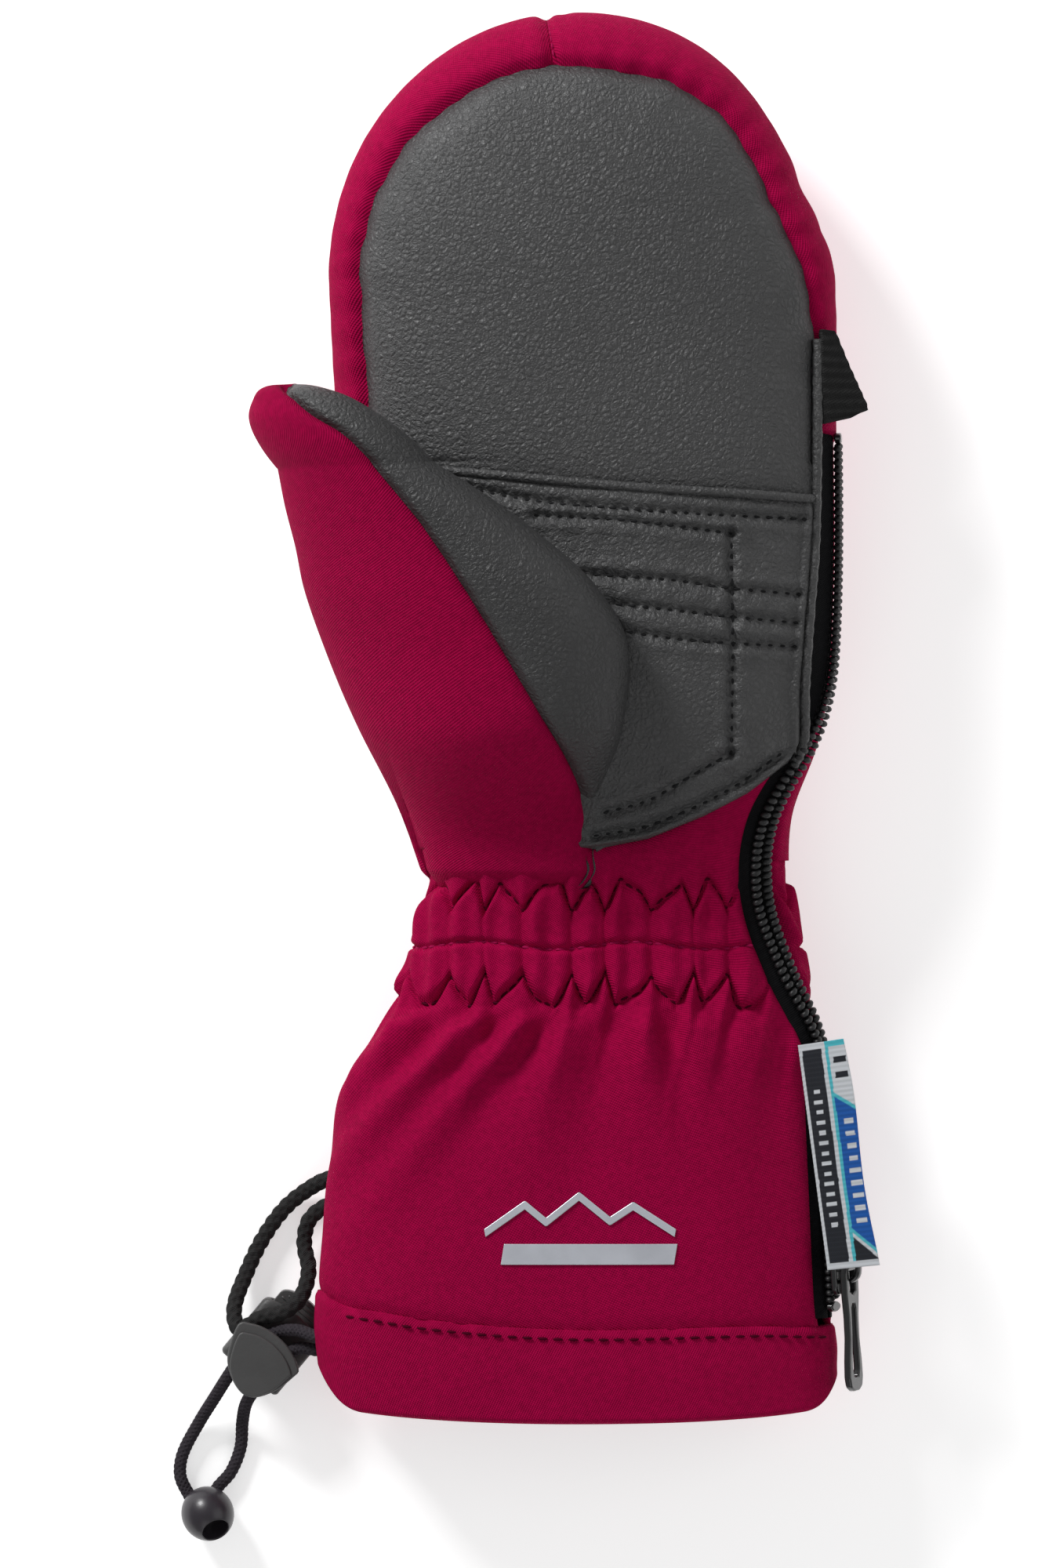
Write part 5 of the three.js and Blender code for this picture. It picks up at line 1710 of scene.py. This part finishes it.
def lock_pose():
    """Turn and place of the cord lock: 50 degrees about the upright axis."""
    a = math.radians(50)
    turn = np.array([[math.cos(a), -math.sin(a), 0], [math.sin(a), math.cos(a), 0], [0, 0, 1]])
    return turn, np.array([-55.8, -115.6, 0])


class MITTEN_OT_cords(Step):
    """Tether loop, drawcord ends, bead and cord lock"""
    bl_idname = "mitten.cords"
    bl_label = "Cords and lock"

    def build(self, given):
        """Lock and bead, then each cord as a braid along its path."""
        pitch = given.braid_pitch / MM
        self.lock()
        bead = self.bead()
        for name, points, node in (("Drawcord, outer strand", ELASTIC_OUTER, "drawcord_outer"),
                                   ("Drawcord, inner strand", ELASTIC_INNER, "drawcord_inner")):
            obj, path, length = braided(name, points, 1.18, pitch * 0.62, 12, "elastic braid")
            place(obj, "mitten", "elastic_cord", node)
            carried = (bead,) if node == "drawcord_outer" else ()
            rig.cord(obj, path[0], length, 0.00236, "knot" if carried else "object", "medium", "loose",
                    path=path[::6], with_pieces=carried)
        obj, path, length = braided("Tether loop", TETHER, 1.5, 1.3 * pitch, 8, "tether braid")
        place(obj, "mitten", "webbing", "tether_cord")
        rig.cord(obj, path[0], length, 0.003, "object", "medium", "loose", path=path[::6])

    def bead(self):
        """Round bead: a barrel-shaped profile and a straight bore, turned round a slanted axis."""
        a = np.radians(np.linspace(-58, 58, 40))
        profile = np.stack([4.9 * np.cos(a), 5.3 * np.sin(a)], -1)
        hole = profile[0, 0]
        inner = np.stack([np.full(14, hole), np.linspace(profile[-1, 1], profile[0, 1], 16)[1:-1]], -1)
        loop = np.vstack([profile, inner])
        axis = unit(BEAD_AXIS)
        side = unit(np.cross(axis, [0, 0, 1.0]))
        other = np.cross(axis, side)
        turn = whole_turn(72)[:, None]
        spoke = np.cos(turn) * side + np.sin(turn) * other
        rings = BEAD_CENTRE + loop[None, :, :1] * spoke[:, None] + loop[None, :, 1:] * axis
        bead = loft("Round bead", rings, None, "bead plastic")
        place(bead, "mitten", "bead_plastic", "bead")
        return bead

    def barrel(self, pose):
        """Hollow barrel: rounded rectangles along it, outside from the closed end to the curved
        mouth and back inside to the bottom of the bore."""
        end = -8.2
        steps = [(end, 0.0, 6.2, 2.8)]
        for t in (0.33, 0.66, 1.0):
            swell = 0.5 * math.sin(t * math.pi / 2)
            steps.append((end + 0.6 * t, 0.0, 6.2 + swell, 2.8 + swell))
        steps += [(end, t, 6.7, 3.3) for t in np.linspace(0.1, 0.97, 12)]
        steps += [(end, 0.99, 6.6, 3.2), (end, 1.0, 6.45, 3.05), (end, 1.0, 6.1, 2.75),
                  (end, 0.985, 5.5, 2.4)]
        steps += [(end, t, 5.4, 2.3) for t in np.linspace(0.95, 0.12, 8)]
        back, share, half, tall = np.array(steps).T[..., None]
        a = whole_turn(96)
        y = half * signed_power(np.cos(a), 2 / 7)
        z = 3.7 + tall * signed_power(np.sin(a), 2 / 7)
        mouth = 4.0 + 2.2 * np.sqrt(np.clip(1 - (y / 6.75) ** 2, 0, 1))
        rings = moved(np.stack([back + share * (mouth - back), y, z], -1), pose)
        return loft("Lock barrel", rings, [rings[0].mean(0), rings[-1].mean(0)], "lock plastic")

    def lock(self):
        """Cord lock: barrel, collar, neck and shield on the mitten, button and ridges on their own
        body. Each part but the barrel and the ridges is a rounded plate."""
        pose = lock_pose()
        look = "lock plastic"
        shell = self.barrel(pose)
        collar = plate("Lock collar", arc(-3.4, 0, 3.1, 3.1, 0, 360, 40)[:-1], 6.9, 7.7, look, 0.3, 3, pose)
        neck = plate("Lock neck", arc(-3.4, 0, 1.75, 1.75, 0, 360, 32)[:-1], 6.8, 10.9, look, 0.1, 2, pose)
        outline = resample(spline([
            (-1.0, 7.1), (0.6, 3.8), (1.1, 0), (0.5, -3.6), (-1.3, -6.9), (-2.2, -6.9), (-6.6, -6.0),
            (-10.2, -3.9), (-11.3, -1.7), (-10.6, 1.4), (-8.4, 4.6), (-5.2, 6.4), (-2.0, 7.4),
            (-1.0, 7.1)], 90)[:-1], 90, True)
        foot = np.array([-10.9, -1.7])
        rim = plate("Lock shield", outline, 10.7, 11.9, look, 0.4, 4, pose)
        face = plate("Lock shield face", foot + (outline - foot) * 0.86, 11.6, 12.4, look, 0.35, 4, pose)
        for part in (shell, collar, neck, rim, face):
            place(part, "mitten", "lock_plastic", "lock_body")
        stem = np.vstack([[(-3.0, -4.9), (-2.8, -5.1)], arc(7.2, 0, 2.2, 5.1, -90, 90, 22),
                          [(-2.8, 5.1), (-3.0, 4.9)]])
        parts = [plate("Press button", stem, 1.7, 5.7, look, 0.8, 4, pose)]
        for k, x in enumerate((6.9, 7.8, 8.7)):
            half = 4.4 - 0.9 * k ** 1.3
            path = np.column_stack([np.full(20, x), np.linspace(-half, half, 20), np.full(20, 5.7)])
            parts.append(tube("Button ridge %d" % (k + 1), moved(path, pose), 0.22, look, 10))
        for part in parts:
            place(part, "button", "lock_plastic", "lock_button")


# ---------------------------------------------------------------- stage

class MITTEN_OT_stage(Step):
    """Pale floor, soft lights and the camera"""
    bl_idname = "mitten.stage"
    bl_label = "Stage"

    def build(self, given):
        """Floor, three lamps, sky and a long lens straight above."""
        scene = bpy.context.scene
        w, shader = new_material(
            "floor", Specular_IOR_Level=0.1, Emission_Color=(1, 1, 1, 1), Emission_Strength=0.5)
        finish_shader(w, shader, w.mix(w.cloud(1.5), (0.93, 0.93, 0.93), (0.95, 0.95, 0.95)), 0.9)
        corners = [(3000 * x, 3000 * y, -0.1) for x, y in ((-1, -1), (1, -1), (1, 1), (-1, 1))]
        floor = put("Floor", corners, [np.array([[0, 1, 2, 3]])], "floor")
        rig.stage(floor)
        for name, spot, power, size in (
                ("Key light", (-0.75, 0.95, 0.62), 16, 0.35), ("Fill light", (0.9, 0.1, 0.9), 2.5, 1.0),
                ("Low light", (-0.2, -1.0, 0.9), 2.2, 0.9)):
            lamp = bpy.data.lights.new(name, "AREA")
            lamp.energy, lamp.size = power, size
            obj = bpy.data.objects.new(name, lamp)
            obj.location = spot
            aim = Vector((0, 0, 0.01)) - Vector(spot)
            obj.rotation_euler = aim.to_track_quat("-Z", "Y").to_euler()
            scene.collection.objects.link(obj)
        world = bpy.data.worlds.new("Studio")
        world.use_nodes = True
        back = world.node_tree.nodes["Background"]
        back.inputs["Color"].default_value = (1, 1, 1, 1)
        back.inputs["Strength"].default_value = 0.25
        scene.world = world
        lens = bpy.data.cameras.new("Camera")
        lens.sensor_fit = "VERTICAL"
        lens.sensor_height = 36
        lens.lens = 36 * 1.48 / 0.29
        camera = bpy.data.objects.new("Camera", lens)
        camera.location = (-0.0098, -0.0118, 1.5)
        scene.collection.objects.link(camera)
        scene.camera = camera
        scene.view_settings.view_transform = "Standard"


ORDER = (MITTEN_OT_finishes, MITTEN_OT_hand, MITTEN_OT_palm, MITTEN_OT_thumb, MITTEN_OT_gauntlet,
         MITTEN_OT_hem, MITTEN_OT_lining, MITTEN_OT_fastener, MITTEN_OT_trims, MITTEN_OT_cords,
         MITTEN_OT_stage)


class MITTEN_PT_sidebar(bpy.types.Panel):
    """Sizes and colours of the mitten, and a button for each group of pieces"""
    bl_idname = "MITTEN_PT_sidebar"
    bl_label = "Ski mitten"
    bl_space_type = "VIEW_3D"
    bl_region_type = "UI"
    bl_category = "Mitten"

    def draw(self, context):
        """Lists the settings, then a button for each operator."""
        given = context.scene.mitten
        column = self.layout.column()
        for key in MittenSettings.__annotations__:
            column.prop(given, key)
        for step in ORDER:
            column.operator(step.bl_idname)


CLASSES = (MittenSettings, *ORDER, MITTEN_PT_sidebar)


def register():
    """Registers every class and hangs the settings on the scene."""
    for each in CLASSES:
        bpy.utils.register_class(each)
    bpy.types.Scene.mitten = bpy.props.PointerProperty(type=MittenSettings)


def unregister():
    """Takes the settings and the classes away again."""
    del bpy.types.Scene.mitten
    for each in reversed(CLASSES):
        bpy.utils.unregister_class(each)


def main():
    """Registers, makes every group of pieces in order and writes the sizes."""
    register()
    for step in ORDER:
        getattr(bpy.ops.mitten, step.bl_idname.split(".")[1])()
    sizes = {"cad": CAD_BOX, "built": [list(corner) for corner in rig.bounds()]}
    with open("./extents.json", "w") as out:
        json.dump(sizes, out)


if __name__ == "__main__":
    main()
